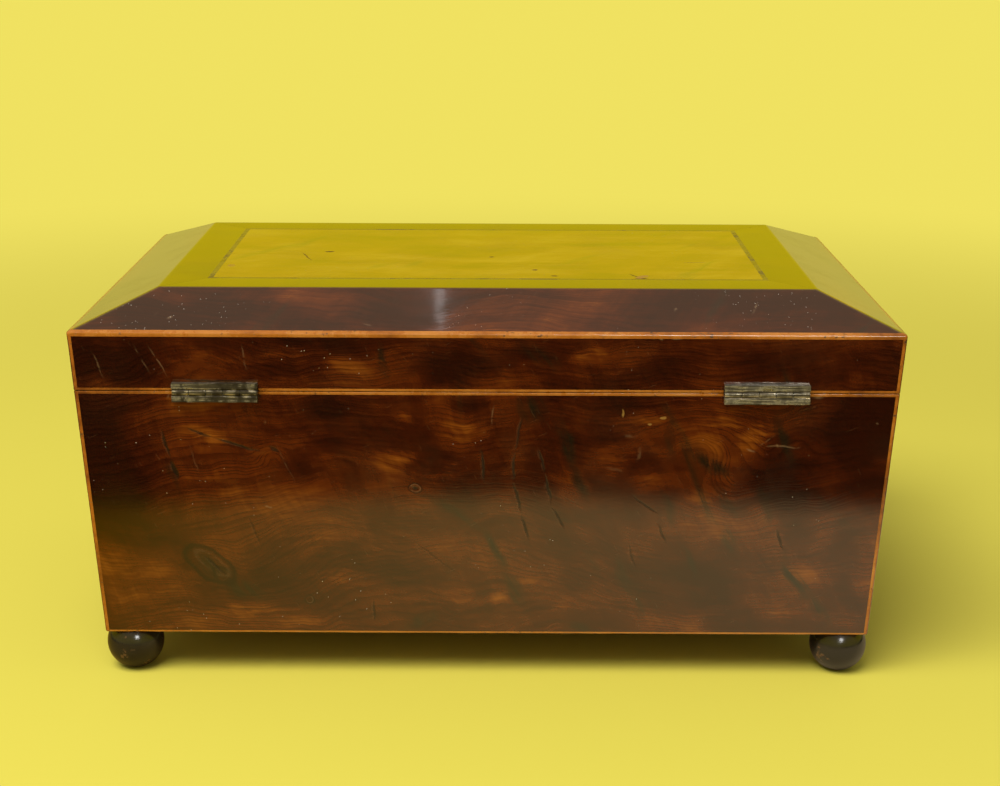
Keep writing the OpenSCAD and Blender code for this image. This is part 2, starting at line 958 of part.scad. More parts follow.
module tray_knife_rests() {
    lo = tray_z + tray_floor;
    color(tray_wood)
        notched(lo + rest_h)
            for (side = [-1, 1])
                translate([side * rest_x - rest_t / 2, -(tray_half_d - tray_t), lo])
                    cube([rest_t, 2 * (tray_half_d - tray_t), rest_h]);
}

base_board(-1, true);  // base_front_board
base_board(1, true);  // base_back_board
base_board(-1, false);  // base_left_board
base_board(1, false);  // base_right_board
base_bottom_board();
base_veneer(-1, true);  // base_front_veneer
base_veneer(1, true);  // base_back_veneer
base_veneer(-1, false);  // base_left_veneer
base_veneer(1, false);  // base_right_veneer
base_corner_strings();
base_rim_strings();
base_bottom_strings();
base_rim_facings();
well_lining();
tray_bearers();
lower_knife_rests();
ball_foot(-1, -1);  // foot_front_left
ball_foot(1, -1);  // foot_front_right
ball_foot(-1, 1);  // foot_back_left
ball_foot(1, 1);  // foot_back_right
hinge_base_leaf(hinge_xs[0]);  // hinge_base_leaf_left
hinge_base_leaf(hinge_xs[1]);  // hinge_base_leaf_right
hinge_pins();
base_screws();
lock_case();
lock_bolt();
key();
escutcheon();
lid_board(-1, true);  // lid_front_board
lid_board(1, true);  // lid_back_board
lid_board(-1, false);  // lid_left_board
lid_board(1, false);  // lid_right_board
lid_top_board();
lid_veneer(-1, true);  // lid_front_veneer
lid_veneer(1, true);  // lid_back_veneer
lid_veneer(-1, false);  // lid_left_veneer
lid_veneer(1, false);  // lid_right_veneer
slope_veneer(-1, true);  // slope_front_veneer
slope_veneer(1, true);  // slope_back_veneer
slope_veneer(-1, false);  // slope_left_veneer
slope_veneer(1, false);  // slope_right_veneer
lid_crossbands();
lid_panel_strings();
lid_panel_veneer();
lid_corner_strings();
lid_shoulder_strings();
lid_rim_strings();
lid_rim_facings();
lid_lining();
hinge_lid_leaf(hinge_xs[0]);  // hinge_lid_leaf_left
hinge_lid_leaf(hinge_xs[1]);  // hinge_lid_leaf_right
lid_screws();
lock_loop_plate();
tray_side(-1);  // tray_front
tray_side(1);  // tray_back
tray_end(-1);  // tray_left
tray_end(1);  // tray_right
tray_bottom();
tray_knife_rests();
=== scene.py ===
"""Antique casket for table knives: figured yew veneer, boxwood strings, ball feet and stop hinges."""

import math

import bmesh
import bpy
import numpy as np
from mathutils import Matrix, Vector, noise


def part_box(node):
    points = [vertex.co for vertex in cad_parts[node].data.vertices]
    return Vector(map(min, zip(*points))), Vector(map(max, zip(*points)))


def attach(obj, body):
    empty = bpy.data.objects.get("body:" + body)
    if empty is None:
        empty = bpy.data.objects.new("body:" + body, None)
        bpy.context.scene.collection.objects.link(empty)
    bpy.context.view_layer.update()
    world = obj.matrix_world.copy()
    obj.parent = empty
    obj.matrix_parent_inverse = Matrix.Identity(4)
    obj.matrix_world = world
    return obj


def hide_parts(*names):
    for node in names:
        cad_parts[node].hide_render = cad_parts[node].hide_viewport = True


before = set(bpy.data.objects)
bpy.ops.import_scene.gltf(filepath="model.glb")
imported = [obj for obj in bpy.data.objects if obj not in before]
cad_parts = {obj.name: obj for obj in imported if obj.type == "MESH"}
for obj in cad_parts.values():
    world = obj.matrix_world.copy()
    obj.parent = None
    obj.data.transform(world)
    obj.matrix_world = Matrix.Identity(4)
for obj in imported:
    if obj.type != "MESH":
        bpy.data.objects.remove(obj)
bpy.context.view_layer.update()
MM = 0.001

# View. The hinge side is seen from two thirds of a metre away and 15 degrees above, with a lens of
# about 66 mm. The small turn and tilt are those of the hand that held the camera.
eye = Vector((-5.7, 761.8, 293.3)) * MM
looks_down, turned, tilted = (math.radians(angle) for angle in (15.02, 0.07, 0.23))
film_width = 36
lens_length = 66.35

view = bpy.data.cameras.new("hinge_side_view")
view.sensor_width = film_width
view.lens = lens_length
view.clip_start = 0.01
camera = bpy.data.objects.new("hinge_side_view", view)
bpy.context.scene.collection.objects.link(camera)
camera.matrix_world = (
    Matrix.Translation(eye)
    @ Matrix.Rotation(math.pi + turned, 4, "Z")
    @ Matrix.Rotation(math.pi / 2 - looks_down, 4, "X")
    @ Matrix.Rotation(tilted, 4, "Z")
)
bpy.context.scene.camera = camera


# Carcase. Sawn mahogany boards, glued and nailed, that the veneers and linings cover. Only the
# underside of the bottom board and the hinge and lock recesses show the bare wood.
sawn_light = (0.30, 0.15, 0.07, 1)
sawn_dark = (0.15, 0.062, 0.028, 1)
sawn_pores = (0.06, 0.025, 0.012, 1)
saw_pitch = 1.6 * MM
saw_depth = 0.12 * MM


def put(tree, kind, sockets=None, **settings):
    """Adds a node, makes its settings, and gives its inputs plain values or other nodes' outputs."""
    node = tree.nodes.new(kind)
    for name, value in settings.items():
        setattr(node, name, value)
    for name, value in (sockets or {}).items():
        if isinstance(value, bpy.types.NodeSocket):
            tree.links.new(value, node.inputs[name])
        else:
            node.inputs[name].default_value = value
    return node


def calc(tree, operation, *values, clamp=False):
    """One step of arithmetic."""
    node = put(tree, "ShaderNodeMath", dict(enumerate(values)), operation=operation, use_clamp=clamp)
    return node.outputs[0]


def ease(tree, value, low, high, start=0.0, end=1.0):
    """Eases from start to end as the value goes from low to high."""
    sockets = {"Value": value, "From Min": low, "From Max": high, "To Min": start, "To Max": end}
    return put(tree, "ShaderNodeMapRange", sockets, interpolation_type="SMOOTHSTEP").outputs["Result"]


def cloud(tree, place, scale, detail=2.0, roughness=0.5, output="Fac"):
    """Soft noise with so many lumps to the metre."""
    sockets = {"Vector": place, "Scale": scale, "Detail": detail, "Roughness": roughness}
    return put(tree, "ShaderNodeTexNoise", sockets).outputs[output]


def tint(tree, share, first, second, mode="MIX"):
    """Mixes two colours."""
    sockets = {0: share, 6: first, 7: second}
    return put(tree, "ShaderNodeMix", sockets, data_type="RGBA", blend_type=mode).outputs[2]


def shades(tree, value, *stops):
    """Runs through colours, each given with its position."""
    node = put(tree, "ShaderNodeValToRGB", {"Fac": value})
    elements = node.color_ramp.elements
    for index, (position, colour) in enumerate(stops):
        element = elements[index] if index < 2 else elements.new(position)
        element.position = position
        element.color = colour
    return node.outputs["Color"]


def weigh(tree, first, second, share):
    """Adds two values, the first by its share and the second by the rest."""
    return calc(tree, "ADD", calc(tree, "MULTIPLY", first, share), calc(tree, "MULTIPLY", second, 1 - share))


def stretch(tree, place, scale, turn=(0, 0, 0), shift=(0, 0, 0)):
    """Scales a pattern along its axes, then turns and shifts it."""
    sockets = {"Vector": place, "Scale": scale, "Rotation": turn, "Location": shift}
    return put(tree, "ShaderNodeMapping", sockets).outputs[0]


def lay(tree, place, degrees, length, width):
    """Lays a pattern whose lumps are so many mm long and wide at an angle in its plane."""
    sockets = {"Vector": place, "Rotation": (0, 0, math.radians(degrees)),
               "Scale": (length * MM, width * MM, width * MM)}
    return put(tree, "ShaderNodeMapping", sockets, vector_type="TEXTURE").outputs[0]


def relief(tree, height, depth, strength=1.0):
    """Normal of a surface whose height runs from 0 to depth."""
    sockets = {"Height": height, "Distance": depth, "Strength": strength}
    return put(tree, "ShaderNodeBump", sockets).outputs["Normal"]


def finish(name):
    """A new material with its shader, and the place on the piece as its pattern's coordinates."""
    material = bpy.data.materials.new(name)
    material.use_nodes = True
    tree = material.node_tree
    tree.nodes.clear()
    shader = put(tree, "ShaderNodeBsdfPrincipled")
    put(tree, "ShaderNodeOutputMaterial", {"Surface": shader.outputs[0]})
    place = put(tree, "ShaderNodeTexCoord").outputs["Object"]
    return material, tree, shader, place


def wire(tree, shader, **sockets):
    """Joins values and outputs to a shader's inputs, named with underscores for spaces."""
    for name, value in sockets.items():
        socket = shader.inputs[name.replace("_", " ")]
        if isinstance(value, bpy.types.NodeSocket):
            tree.links.new(value, socket)
        else:
            socket.default_value = value


def new_group(name, takes, gives):
    """A shader node group with its named inputs and outputs."""
    tree = bpy.data.node_groups.new(name, "ShaderNodeTree")
    for label, kind, value in takes:
        socket = tree.interface.new_socket(name=label, in_out="INPUT", socket_type=f"NodeSocket{kind}")
        if value is not None:
            socket.default_value = value
    for label, kind in gives:
        tree.interface.new_socket(name=label, in_out="OUTPUT", socket_type=f"NodeSocket{kind}")
    return tree, tree.nodes.new("NodeGroupInput").outputs, tree.nodes.new("NodeGroupOutput").inputs


def use(tree, group, **sockets):
    """Places a group in a material, with its inputs named with underscores for spaces."""
    named = {name.replace("_", " "): value for name, value in sockets.items()}
    node = tree.nodes.new("ShaderNodeGroup")
    node.node_tree = group
    for name, value in named.items():
        if isinstance(value, bpy.types.NodeSocket):
            tree.links.new(value, node.inputs[name])
        else:
            node.inputs[name].default_value = value
    return node.outputs


def warp(tree, place, scale, reach):
    """Moves a place about by soft noise, up to half of reach each way."""
    push = put(tree, "ShaderNodeVectorMath", {
        0: cloud(tree, place, scale, output="Color"), 1: (0.5, 0.5, 0.5)}, operation="SUBTRACT")
    amount = reach if isinstance(reach, bpy.types.NodeSocket) else (reach, reach, reach)
    sockets = {0: push.outputs[0], 1: amount, 2: place}
    return put(tree, "ShaderNodeVectorMath", sockets, operation="MULTIPLY_ADD").outputs[0]


# Shared effect: straight grain along X, with tone bands and short dark pores
straight_grain, grain_in, grain_out = new_group(
    "straight_grain",
    [("Place", "Vector", None), ("Waviness", "Float", 0.004)],
    [("Tone", "Float"), ("Pores", "Float")],
)
bent = warp(straight_grain, grain_in["Place"], 18, grain_in["Waviness"])
broad = cloud(straight_grain, stretch(straight_grain, bent, (9, 120, 120)), 1, 4, 0.6)
fine = cloud(straight_grain, stretch(straight_grain, bent, (45, 900, 900)), 1, 3, 0.6)
straight_grain.links.new(weigh(straight_grain, broad, fine, 0.65), grain_out["Tone"])
pore_rows = cloud(straight_grain, stretch(straight_grain, bent, (150, 2600, 2600)), 1, 1, 0.5)
straight_grain.links.new(ease(straight_grain, pore_rows, 0.60, 0.70), grain_out["Pores"])


def dress(material, *nodes):
    """Gives carried-over pieces of the part a finish."""
    for name in nodes:
        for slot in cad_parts[name].material_slots:
            slot.material = material


def sawn_wood(name, along):
    """Bare mahogany whose grain runs along X (0), Y (1) or Z (2), with the marks of a frame saw."""
    material, tree, shader, place = finish(name)
    turns = ((0, 0, 0), (0, 0, math.pi / 2), (0, math.pi / 2, 0))
    turned_place = stretch(tree, place, (1, 1, 1), turns[along])
    grain = use(tree, straight_grain, Place=turned_place, Waviness=0.006)
    colour = shades(tree, grain["Tone"], (0.3, sawn_dark), (0.7, sawn_light))
    colour = tint(tree, calc(tree, "MULTIPLY", grain["Pores"], 0.6), colour, sawn_pores)
    saw = put(tree, "ShaderNodeTexWave", {
        "Vector": turned_place, "Scale": 1 / saw_pitch / 20, "Distortion": 1.2, "Detail": 1.0})
    rough_height = calc(tree, "ADD", calc(tree, "MULTIPLY", saw.outputs["Fac"], 0.5), grain["Tone"])
    wire(tree, shader, Base_Color=colour, Roughness=ease(tree, grain["Tone"], 0.2, 0.8, 0.85, 0.65),
         Normal=relief(tree, rough_height, saw_depth))
    return material


dress(sawn_wood("sawn_long_board", 0), "base_front_board", "base_back_board", "base_bottom_board",
      "lid_front_board", "lid_back_board", "lid_top_board")
dress(sawn_wood("sawn_end_board", 1), "base_left_board", "base_right_board", "lid_left_board",
      "lid_right_board")


# Ball feet. Turned in beech, stained black and polished, each with a spigot glued into the bottom
# board. The polish has rubbed through to brown wood in small places, and the ball stands on a flat.
ebony_black = (0.010, 0.008, 0.007, 1)
ebony_brown = (0.022, 0.017, 0.012, 1)
rubbed_brown = (0.16, 0.075, 0.03, 1)
ball_slices = 96
ball_rings = 64
flat_rise = 0.4 * MM


def fresh_object(name, mesh, body, *replaced, slot):
    """Links a finished mesh as a piece that rides on a body and stands for nodes of the part."""
    piece = bpy.data.objects.new(name, mesh)
    bpy.context.scene.collection.objects.link(piece)
    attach(piece, body)
    if replaced:
        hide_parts(*replaced)
    return piece


def run_nodes(tree, values):
    """Runs a geometry tree with its named inputs set, and returns the result as a plain mesh."""
    carrier = bpy.data.objects.new("carrier", bpy.data.meshes.new("carrier"))
    bpy.context.scene.collection.objects.link(carrier)
    modifier = carrier.modifiers.new("making", "NODES")
    modifier.node_group = tree
    for item in tree.interface.items_tree:
        if item.item_type == "SOCKET" and item.in_out == "INPUT" and item.name in values:
            modifier[item.identifier] = values[item.name]
    bpy.context.view_layer.update()
    evaluated = carrier.evaluated_get(bpy.context.evaluated_depsgraph_get())
    mesh = bpy.data.meshes.new_from_object(evaluated)
    carrier.modifiers.remove(modifier)
    bpy.data.objects.remove(carrier)
    return mesh


def geometry_tree(name, takes):
    """A geometry tree with its named inputs and one geometry output."""
    tree = bpy.data.node_groups.new(name, "GeometryNodeTree")
    for label, kind, value in takes:
        socket = tree.interface.new_socket(name=label, in_out="INPUT", socket_type=f"NodeSocket{kind}")
        if value is not None:
            socket.default_value = value
    tree.interface.new_socket(name="Geometry", in_out="OUTPUT", socket_type="NodeSocketGeometry")
    return tree, tree.nodes.new("NodeGroupInput").outputs, tree.nodes.new("NodeGroupOutput").inputs


def ebonised(name, centre, seed):
    """Black stain under polish, turned round the foot's axis, with rubbed places."""
    material, tree, shader, place = finish(name)
    local = stretch(tree, place, (1, 1, 1), shift=tuple(-value for value in centre))
    shifted = stretch(tree, local, (1, 1, 1), shift=(seed, 0, 0))
    rubbed = calc(tree, "MULTIPLY", ease(tree, cloud(tree, shifted, 130, 3, 0.65), 0.60, 0.68),
                  ease(tree, cloud(tree, shifted, 520, 3, 0.7), 0.40, 0.56))
    colour = shades(tree, cloud(tree, shifted, 90, 3), (0.3, ebony_black), (0.75, ebony_brown))
    colour = tint(tree, calc(tree, "MULTIPLY", rubbed, 0.75), colour, rubbed_brown)
    rings = cloud(tree, stretch(tree, local, (25, 25, 1500)), 1, 2)
    height = calc(tree, "SUBTRACT", calc(tree, "MULTIPLY", rings, 0.4), calc(tree, "MULTIPLY", rubbed, 0.5))
    wire(tree, shader, Base_Color=colour, Normal=relief(tree, height, 0.05 * MM),
         Roughness=calc(tree, "ADD", ease(tree, cloud(tree, shifted, 210, 3), 0.3, 0.7, 0.13, 0.26),
                        calc(tree, "MULTIPLY", rubbed, 0.25)))
    return material


turned_ball, ball_in, ball_out = geometry_tree("turned_ball", [
    ("Centre", "Vector", (0, 0, 0)), ("Radius", "Float", 0.011), ("Underside", "Float", -0.0106),
    ("Seat", "Float", 0.0068), ("Finish", "Material", None)])
ball = put(turned_ball, "GeometryNodeMeshUVSphere", {
    "Segments": ball_slices, "Rings": ball_rings, "Radius": ball_in["Radius"]})
ball_place = put(turned_ball, "GeometryNodeInputPosition").outputs[0]
spot = put(turned_ball, "ShaderNodeSeparateXYZ", {0: ball_place})
level = put(turned_ball, "ShaderNodeClamp", {
    0: spot.outputs["Z"], "Min": ball_in["Underside"], "Max": ball_in["Seat"]})
cut_spot = put(turned_ball, "ShaderNodeCombineXYZ", {
    "X": spot.outputs["X"], "Y": spot.outputs["Y"], "Z": level.outputs[0]})
cut_ball = put(turned_ball, "GeometryNodeSetPosition", {
    "Geometry": ball.outputs["Mesh"], "Position": cut_spot.outputs[0]})
placed_ball = put(turned_ball, "GeometryNodeTransform", {
    "Geometry": cut_ball.outputs[0], "Translation": ball_in["Centre"]})
smooth_ball = put(turned_ball, "GeometryNodeSetShadeSmooth", {"Geometry": placed_ball.outputs[0]})
real_ball = put(turned_ball, "GeometryNodeRealizeInstances", {"Geometry": smooth_ball.outputs[0]})
dressed_ball = put(turned_ball, "GeometryNodeSetMaterial", {
    "Geometry": real_ball.outputs[0], "Material": ball_in["Finish"]})
turned_ball.links.new(dressed_ball.outputs[0], ball_out["Geometry"])

under_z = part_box("base_bottom_board")[0].z
for index, end in enumerate(("front_left", "front_right", "back_left", "back_right")):
    low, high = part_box(f"foot_{end}")
    radius = (high.x - low.x) / 2
    middle = (low + high) / 2
    # The flat under the ball takes a little off its height
    centre = Vector((middle.x, middle.y, low.z + radius - flat_rise))
    mesh = run_nodes(turned_ball, {
        "Centre": centre, "Radius": radius, "Underside": low.z - centre.z, "Seat": under_z - centre.z,
        "Finish": ebonised(f"ebonised_{end}", centre, 0.37 * index)})
    mesh.set_sharp_from_angle(angle=math.radians(30))
    fresh_object(f"ball_foot_{end}", mesh, "base", f"foot_{end}", slot="ebonised_wood")


# Outside faces. Saw-cut yew veneer covers the walls and the lid, let in between boxwood strings
# at every edge. Handling has rounded the arrises, so the strings, slope leaves and crossbands are cut and
# rounded alike; the wall leaves and the panel are copied unrounded.
corner_round = 1.0 * MM
roof_round = 5.0 * MM
rim_round = 0.22 * MM
corner_cuts = (15, 30, 45, 60, 75, 90)
roof_cuts = (5, 10, 15, 21)
rim_cuts = (30, 60, 90)
rounding_passes = 60
merge_reach = 1e-6
hair = 1e-9

base_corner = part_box("base_corner_strings")[1]
lid_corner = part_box("lid_corner_strings")[1]
lid_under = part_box("lid_corner_strings")[0].z
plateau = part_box("lid_crossbands")[1]
slope_foot = Vector((0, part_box("slope_back_veneer")[1].y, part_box("lid_shoulder_strings")[1].z))
wall_lean = (lid_corner.x - base_corner.x) / (lid_corner.z - base_corner.z)
slope_rise = (plateau.z - slope_foot.z) / (slope_foot.y - plateau.y)


def plane(normal, through):
    """A plane of the case, as its outward normal and its distance from the origin."""
    unit = Vector(normal).normalized()
    return np.array(unit), unit.dot(Vector(through))


sides = ((1, 0), (-1, 0), (0, 1), (0, -1))
walls = [plane((x, y, -wall_lean), (x * lid_corner.x, y * lid_corner.y, lid_corner.z)) for x, y in sides]
slopes = [plane((x * slope_rise, y * slope_rise, 1), (x * plateau.x, y * plateau.y, plateau.z))
          for x, y in sides]
underside = plane((0, 0, -1), (0, 0, under_z))
plateau_top = plane((0, 0, 1), plateau)
base_rim = plane((0, 0, 1), (0, 0, base_corner.z))
lid_rim = plane((0, 0, -1), (0, 0, lid_under))


def round_over(points, planes, radius):
    """Moves the points that stand outside the rounded solid of these planes onto it."""
    inner = points.copy()
    steps = np.zeros((len(planes), *points.shape))
    for _ in range(rounding_passes):
        for k, (normal, distance) in enumerate(planes):
            trial = inner + steps[k]
            over = np.maximum(trial @ normal - (distance - radius), 0)
            inner = trial - over[:, None] * normal
            steps[k] = trial - inner
    away = points - inner
    reach = np.linalg.norm(away, axis=1)
    proud = reach > radius + hair
    points[proud] = inner[proud] + away[proud] * (radius / reach)[proud, None]
    return np.where(proud, reach - radius, 0)


def cut_all(work, normal, distance):
    """Cuts a mesh along a plane without parting it."""
    everything = work.verts[:] + work.edges[:] + work.faces[:]
    through = Vector(normal) * distance
    bmesh.ops.bisect_plane(work, geom=everything, dist=1e-7, plane_co=through, plane_no=normal)


def clean_copy(node):
    """The node's mesh with its triangles merged into whole faces."""
    work = bmesh.new()
    work.from_mesh(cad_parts[node].data)
    bmesh.ops.remove_doubles(work, verts=work.verts, dist=merge_reach)
    bmesh.ops.dissolve_limit(work, angle_limit=math.radians(1), verts=work.verts, edges=work.edges)
    return work


def worn_copy(node, name, material, roundings, wear=0.0, every=None):
    """A copy of a node with rounded arrises. Wear varies the rounding, cut at every so many metres.
    The attribute "rubbed" is 0 on the flats and 1 where most has gone."""
    work = clean_copy(node)
    for planes, radius, cuts in roundings:
        for normal, distance in planes:
            for angle in cuts:
                cut_all(work, normal, distance - radius * (1 - math.cos(math.radians(angle))))
    if every:
        low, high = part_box(node)
        for axis in range(3):
            for k in range(1, int((high[axis] - low[axis]) / every)):
                cut_all(work, [float(axis == n) for n in range(3)], low[axis] + k * every)
    points = np.array([vertex.co for vertex in work.verts])
    rubbed = work.verts.layers.float.new("rubbed")
    for planes, radius, _ in roundings:
        rough = np.array([noise.noise(Vector(p) * 90) + 0.6 * noise.noise(Vector(p) * 330) for p in points])
        moved = round_over(points, planes, radius * (1 + wear * rough))
        for vertex, share in zip(work.verts, moved / max(moved.max(), hair)):
            vertex[rubbed] = max(vertex[rubbed], share)
    for vertex, point in zip(work.verts, points):
        vertex.co = point
    bmesh.ops.remove_doubles(work, verts=work.verts, dist=merge_reach)
    bmesh.ops.recalc_face_normals(work, faces=work.faces)
    for face in work.faces:
        face.smooth = True
    mesh = bpy.data.meshes.new(name)
    work.to_mesh(mesh)
    work.free()
    mesh.materials.append(material)
    mesh.set_sharp_from_angle(angle=math.radians(35))
    return mesh


def weigh_normals(piece):
    """Keeps the flats flat where they meet their rounded arrises."""
    modifier = piece.modifiers.new("flat_faces", "WEIGHTED_NORMAL")
    modifier.keep_sharp = True
    modifier.weight = 100
    return piece


# Shared effect: one soft-edged oval mark, such as a knot, a crack or a bruise, added to the marks
# before it. Those only lift it by a millionth of a millimetre, so that the marks are worked out in turn.
oval_mark, mark_in, mark_out = new_group(
    "oval_mark",
    [("Place", "Vector", None), ("Before", "Float", 0.0), ("Middle", "Vector", (0, 0, 0)),
     ("Turn", "Vector", (0, 0, 0)), ("Size", "Vector", (0.01, 0.01, 1)), ("Softness", "Float", 0.7),
     ("Strength", "Float", 1.0)],
    [("Mask", "Float"), ("Ring", "Float")],
)
in_turn = put(oval_mark, "ShaderNodeVectorMath", {
    0: mark_in["Before"], 1: (0, 0, 1e-9), 2: mark_in["Place"]}, operation="MULTIPLY_ADD")
mark_spot = put(oval_mark, "ShaderNodeMapping", {
    "Vector": in_turn.outputs[0], "Location": mark_in["Middle"], "Rotation": mark_in["Turn"],
    "Scale": mark_in["Size"]}, vector_type="TEXTURE")
mark_reach = put(oval_mark, "ShaderNodeVectorMath", {0: mark_spot.outputs[0]}, operation="LENGTH")
mark_edge = calc(oval_mark, "SUBTRACT", 1.0, mark_in["Softness"])
mark_fill = ease(oval_mark, mark_reach.outputs["Value"], 1.0, mark_edge)
mark_ring = calc(oval_mark, "MULTIPLY", ease(oval_mark, mark_reach.outputs["Value"], 0.60, 0.82),
                 ease(oval_mark, mark_reach.outputs["Value"], 1.0, 0.84))
for share, output in ((mark_fill, "Mask"), (mark_ring, "Ring")):
    share = calc(oval_mark, "MULTIPLY", share, mark_in["Strength"])
    oval_mark.links.new(calc(oval_mark, "MAXIMUM", share, mark_in["Before"]), mark_out[output])


def marks(tree, place, rows, softness=0.7, shape="Mask"):
    """The strongest of a list of marks: across, up, half length, half width in mm, degrees, strength."""
    total = 0.0
    for across, up, length, width, degrees, strength in rows:
        total = use(tree, oval_mark, Place=place, Before=total, Middle=(across * MM, up * MM, 0),
                    Turn=(0, 0, math.radians(degrees)), Size=(length * MM, width * MM, 1),
                    Softness=softness, Strength=strength)[shape]
    return total


# Shared effect: the figure of yew. Growth lines follow the levels of a warped field, knots lift
# them, and the tone wanders from maroon to orange with smoky bands that cross the grain.
yew_maroon = (0.022, 0.0028, 0.0006, 1)
yew_brown = (0.047, 0.0064, 0.0009, 1)
yew_russet = (0.098, 0.0170, 0.0018, 1)
yew_orange = (0.245, 0.0660, 0.0060, 1)
yew_gold = (0.430, 0.2100, 0.0250, 1)
yew_smoke = (0.0100, 0.0088, 0.0040, 1)
late_wood_tint = (0.40, 0.27, 0.20, 1)
polish_roughness = 0.05

yew_figure, yew_in, yew_out = new_group(
    "yew_figure",
    [("Place", "Vector", None), ("Seed", "Float", 0.0), ("Lift", "Float", 0.0), ("Glow", "Float", 0.0),
     ("Gloom", "Float", 0.0), ("Smoke", "Float", 0.0), ("Spacing", "Float", 0.0017),
     ("Warmth", "Float", 0.0), ("Lean", "Float", -1.08)],
    [("Colour", "Color"), ("Height", "Float")],
)
seed_shift = put(yew_figure, "ShaderNodeCombineXYZ", {"Z": yew_in["Seed"]})
yew_place = put(yew_figure, "ShaderNodeVectorMath", {
    0: yew_in["Place"], 1: seed_shift.outputs[0]}, operation="ADD").outputs[0]


def sway(tree, noise_value, amount):
    """Noise about zero, as high as amount."""
    return calc(tree, "MULTIPLY", calc(tree, "SUBTRACT", noise_value, 0.5), amount)


swept = warp(yew_figure, yew_place, 9, 0.050)
rippled = warp(yew_figure, swept, 60, 0.0055)
yew_level = put(yew_figure, "ShaderNodeSeparateXYZ", {0: rippled}).outputs["Y"]
yew_level = calc(yew_figure, "SUBTRACT", yew_level, yew_in["Lift"])
line_count = calc(yew_figure, "DIVIDE", yew_level, yew_in["Spacing"])
uneven = put(yew_figure, "ShaderNodeTexNoise", {"W": line_count, "Scale": 0.31, "Detail": 1.0},
             noise_dimensions="1D").outputs["Fac"]
line_phase = calc(yew_figure, "FRACT", calc(yew_figure, "MULTIPLY_ADD", uneven, 3.2, line_count))
late_wood = calc(yew_figure, "MULTIPLY", ease(yew_figure, line_phase, 0.30, 0.88),
                 ease(yew_figure, line_phase, 1.0, 0.90))
shown = ease(yew_figure, cloud(yew_figure, yew_place, 19, 3), 0.34, 0.56, 0.25, 1.0)
late_wood = calc(yew_figure, "MULTIPLY", late_wood, shown)

# Smoky bands lean across the grain, with streaks inside them
leaning = put(yew_figure, "ShaderNodeVectorRotate", {
    "Vector": swept, "Axis": (0, 0, 1), "Angle": calc(yew_figure, "MULTIPLY", yew_in["Lean"], -1)})
band_place = leaning.outputs[0]
bands = cloud(yew_figure, stretch(yew_figure, band_place, (13, 62, 20)), 1, 3, 0.55)
streaks = cloud(yew_figure, stretch(yew_figure, band_place, (42, 430, 60)), 1, 3, 0.65)
feathers = ease(yew_figure, streaks, 0.36, 0.60, 0.25, 1.0)

tone = cloud(yew_figure, stretch(yew_figure, rippled, (15, 34, 16)), 1, 5, 0.60)
fibres = cloud(yew_figure, stretch(yew_figure, rippled, (60, 620, 70)), 1, 3, 0.6)
glowing = calc(yew_figure, "MULTIPLY", yew_in["Glow"], ease(yew_figure, fibres, 0.30, 0.62, 0.40, 1.10))
for part in (sway(yew_figure, fibres, 0.18), sway(yew_figure, bands, 0.26), sway(yew_figure, streaks, 0.12),
             yew_in["Warmth"], calc(yew_figure, "MULTIPLY", glowing, 0.19),
             calc(yew_figure, "MULTIPLY", yew_in["Gloom"], -0.27)):
    tone = calc(yew_figure, "ADD", tone, part)
yew_colour = shades(yew_figure, tone, (0.36, yew_maroon), (0.48, yew_brown), (0.60, yew_russet),
                    (0.78, yew_orange), (1.0, yew_gold))
smoky = calc(yew_figure, "MULTIPLY", ease(yew_figure, bands, 0.60, 0.72, 0.0, 0.8), feathers)
smoky = calc(yew_figure, "MAXIMUM", smoky, calc(yew_figure, "MULTIPLY", yew_in["Smoke"], feathers))
yew_colour = tint(yew_figure, smoky, yew_colour, yew_smoke)
yew_colour = tint(yew_figure, calc(yew_figure, "MULTIPLY", late_wood, 0.62), yew_colour,
                  late_wood_tint, "MULTIPLY")
yew_figure.links.new(yew_colour, yew_out["Colour"])
yew_figure.links.new(calc(yew_figure, "SUBTRACT", fibres, calc(yew_figure, "MULTIPLY", late_wood, 0.35)),
                     yew_out["Height"])

# Shared effect: what handling leaves on polish. Dust specks, fine scratches and dulled places.
handling, hand_in, hand_out = new_group(
    "handling", [("Place", "Vector", None), ("Specks", "Float", 0.5)],
    [("Specks", "Float"), ("Scratches", "Float"), ("Dulled", "Float")])
dust = put(handling, "ShaderNodeTexVoronoi", {"Vector": hand_in["Place"], "Scale": 950.0})
dust_seat = calc(handling, "GREATER_THAN", put(
    handling, "ShaderNodeSeparateColor", {0: dust.outputs["Color"]}).outputs[0],
    calc(handling, "MULTIPLY_ADD", hand_in["Specks"], -0.16, 0.98))
dust_dot = calc(handling, "MULTIPLY", ease(handling, dust.outputs["Distance"], 0.17, 0.05), dust_seat)
dusty = ease(handling, cloud(handling, hand_in["Place"], 20, 3), 0.47, 0.60)
handling.links.new(calc(handling, "MULTIPLY", dust_dot, dusty), hand_out["Specks"])
scored = cloud(handling, lay(handling, hand_in["Place"], 24, 9, 0.35), 1, 1, 0.5)
crossed = cloud(handling, lay(handling, hand_in["Place"], -62, 7, 0.35), 1, 1, 0.5)
scored = ease(handling, calc(handling, "MAXIMUM", scored, crossed), 0.74, 0.79)
handling.links.new(scored, hand_out["Scratches"])
dulled = ease(handling, cloud(handling, hand_in["Place"], 30, 4, 0.6), 0.35, 0.75)
handling.links.new(dulled, hand_out["Dulled"])

speck_white = (0.80, 0.74, 0.62, 1)
crack_and_shadow_black = (0.006, 0.0025, 0.0015, 1)
bruise_and_highlight_tan = (0.30, 0.19, 0.10, 1)
chip_ochre = (0.36, 0.19, 0.035, 1)
rub_tan = (0.26, 0.17, 0.055, 1)


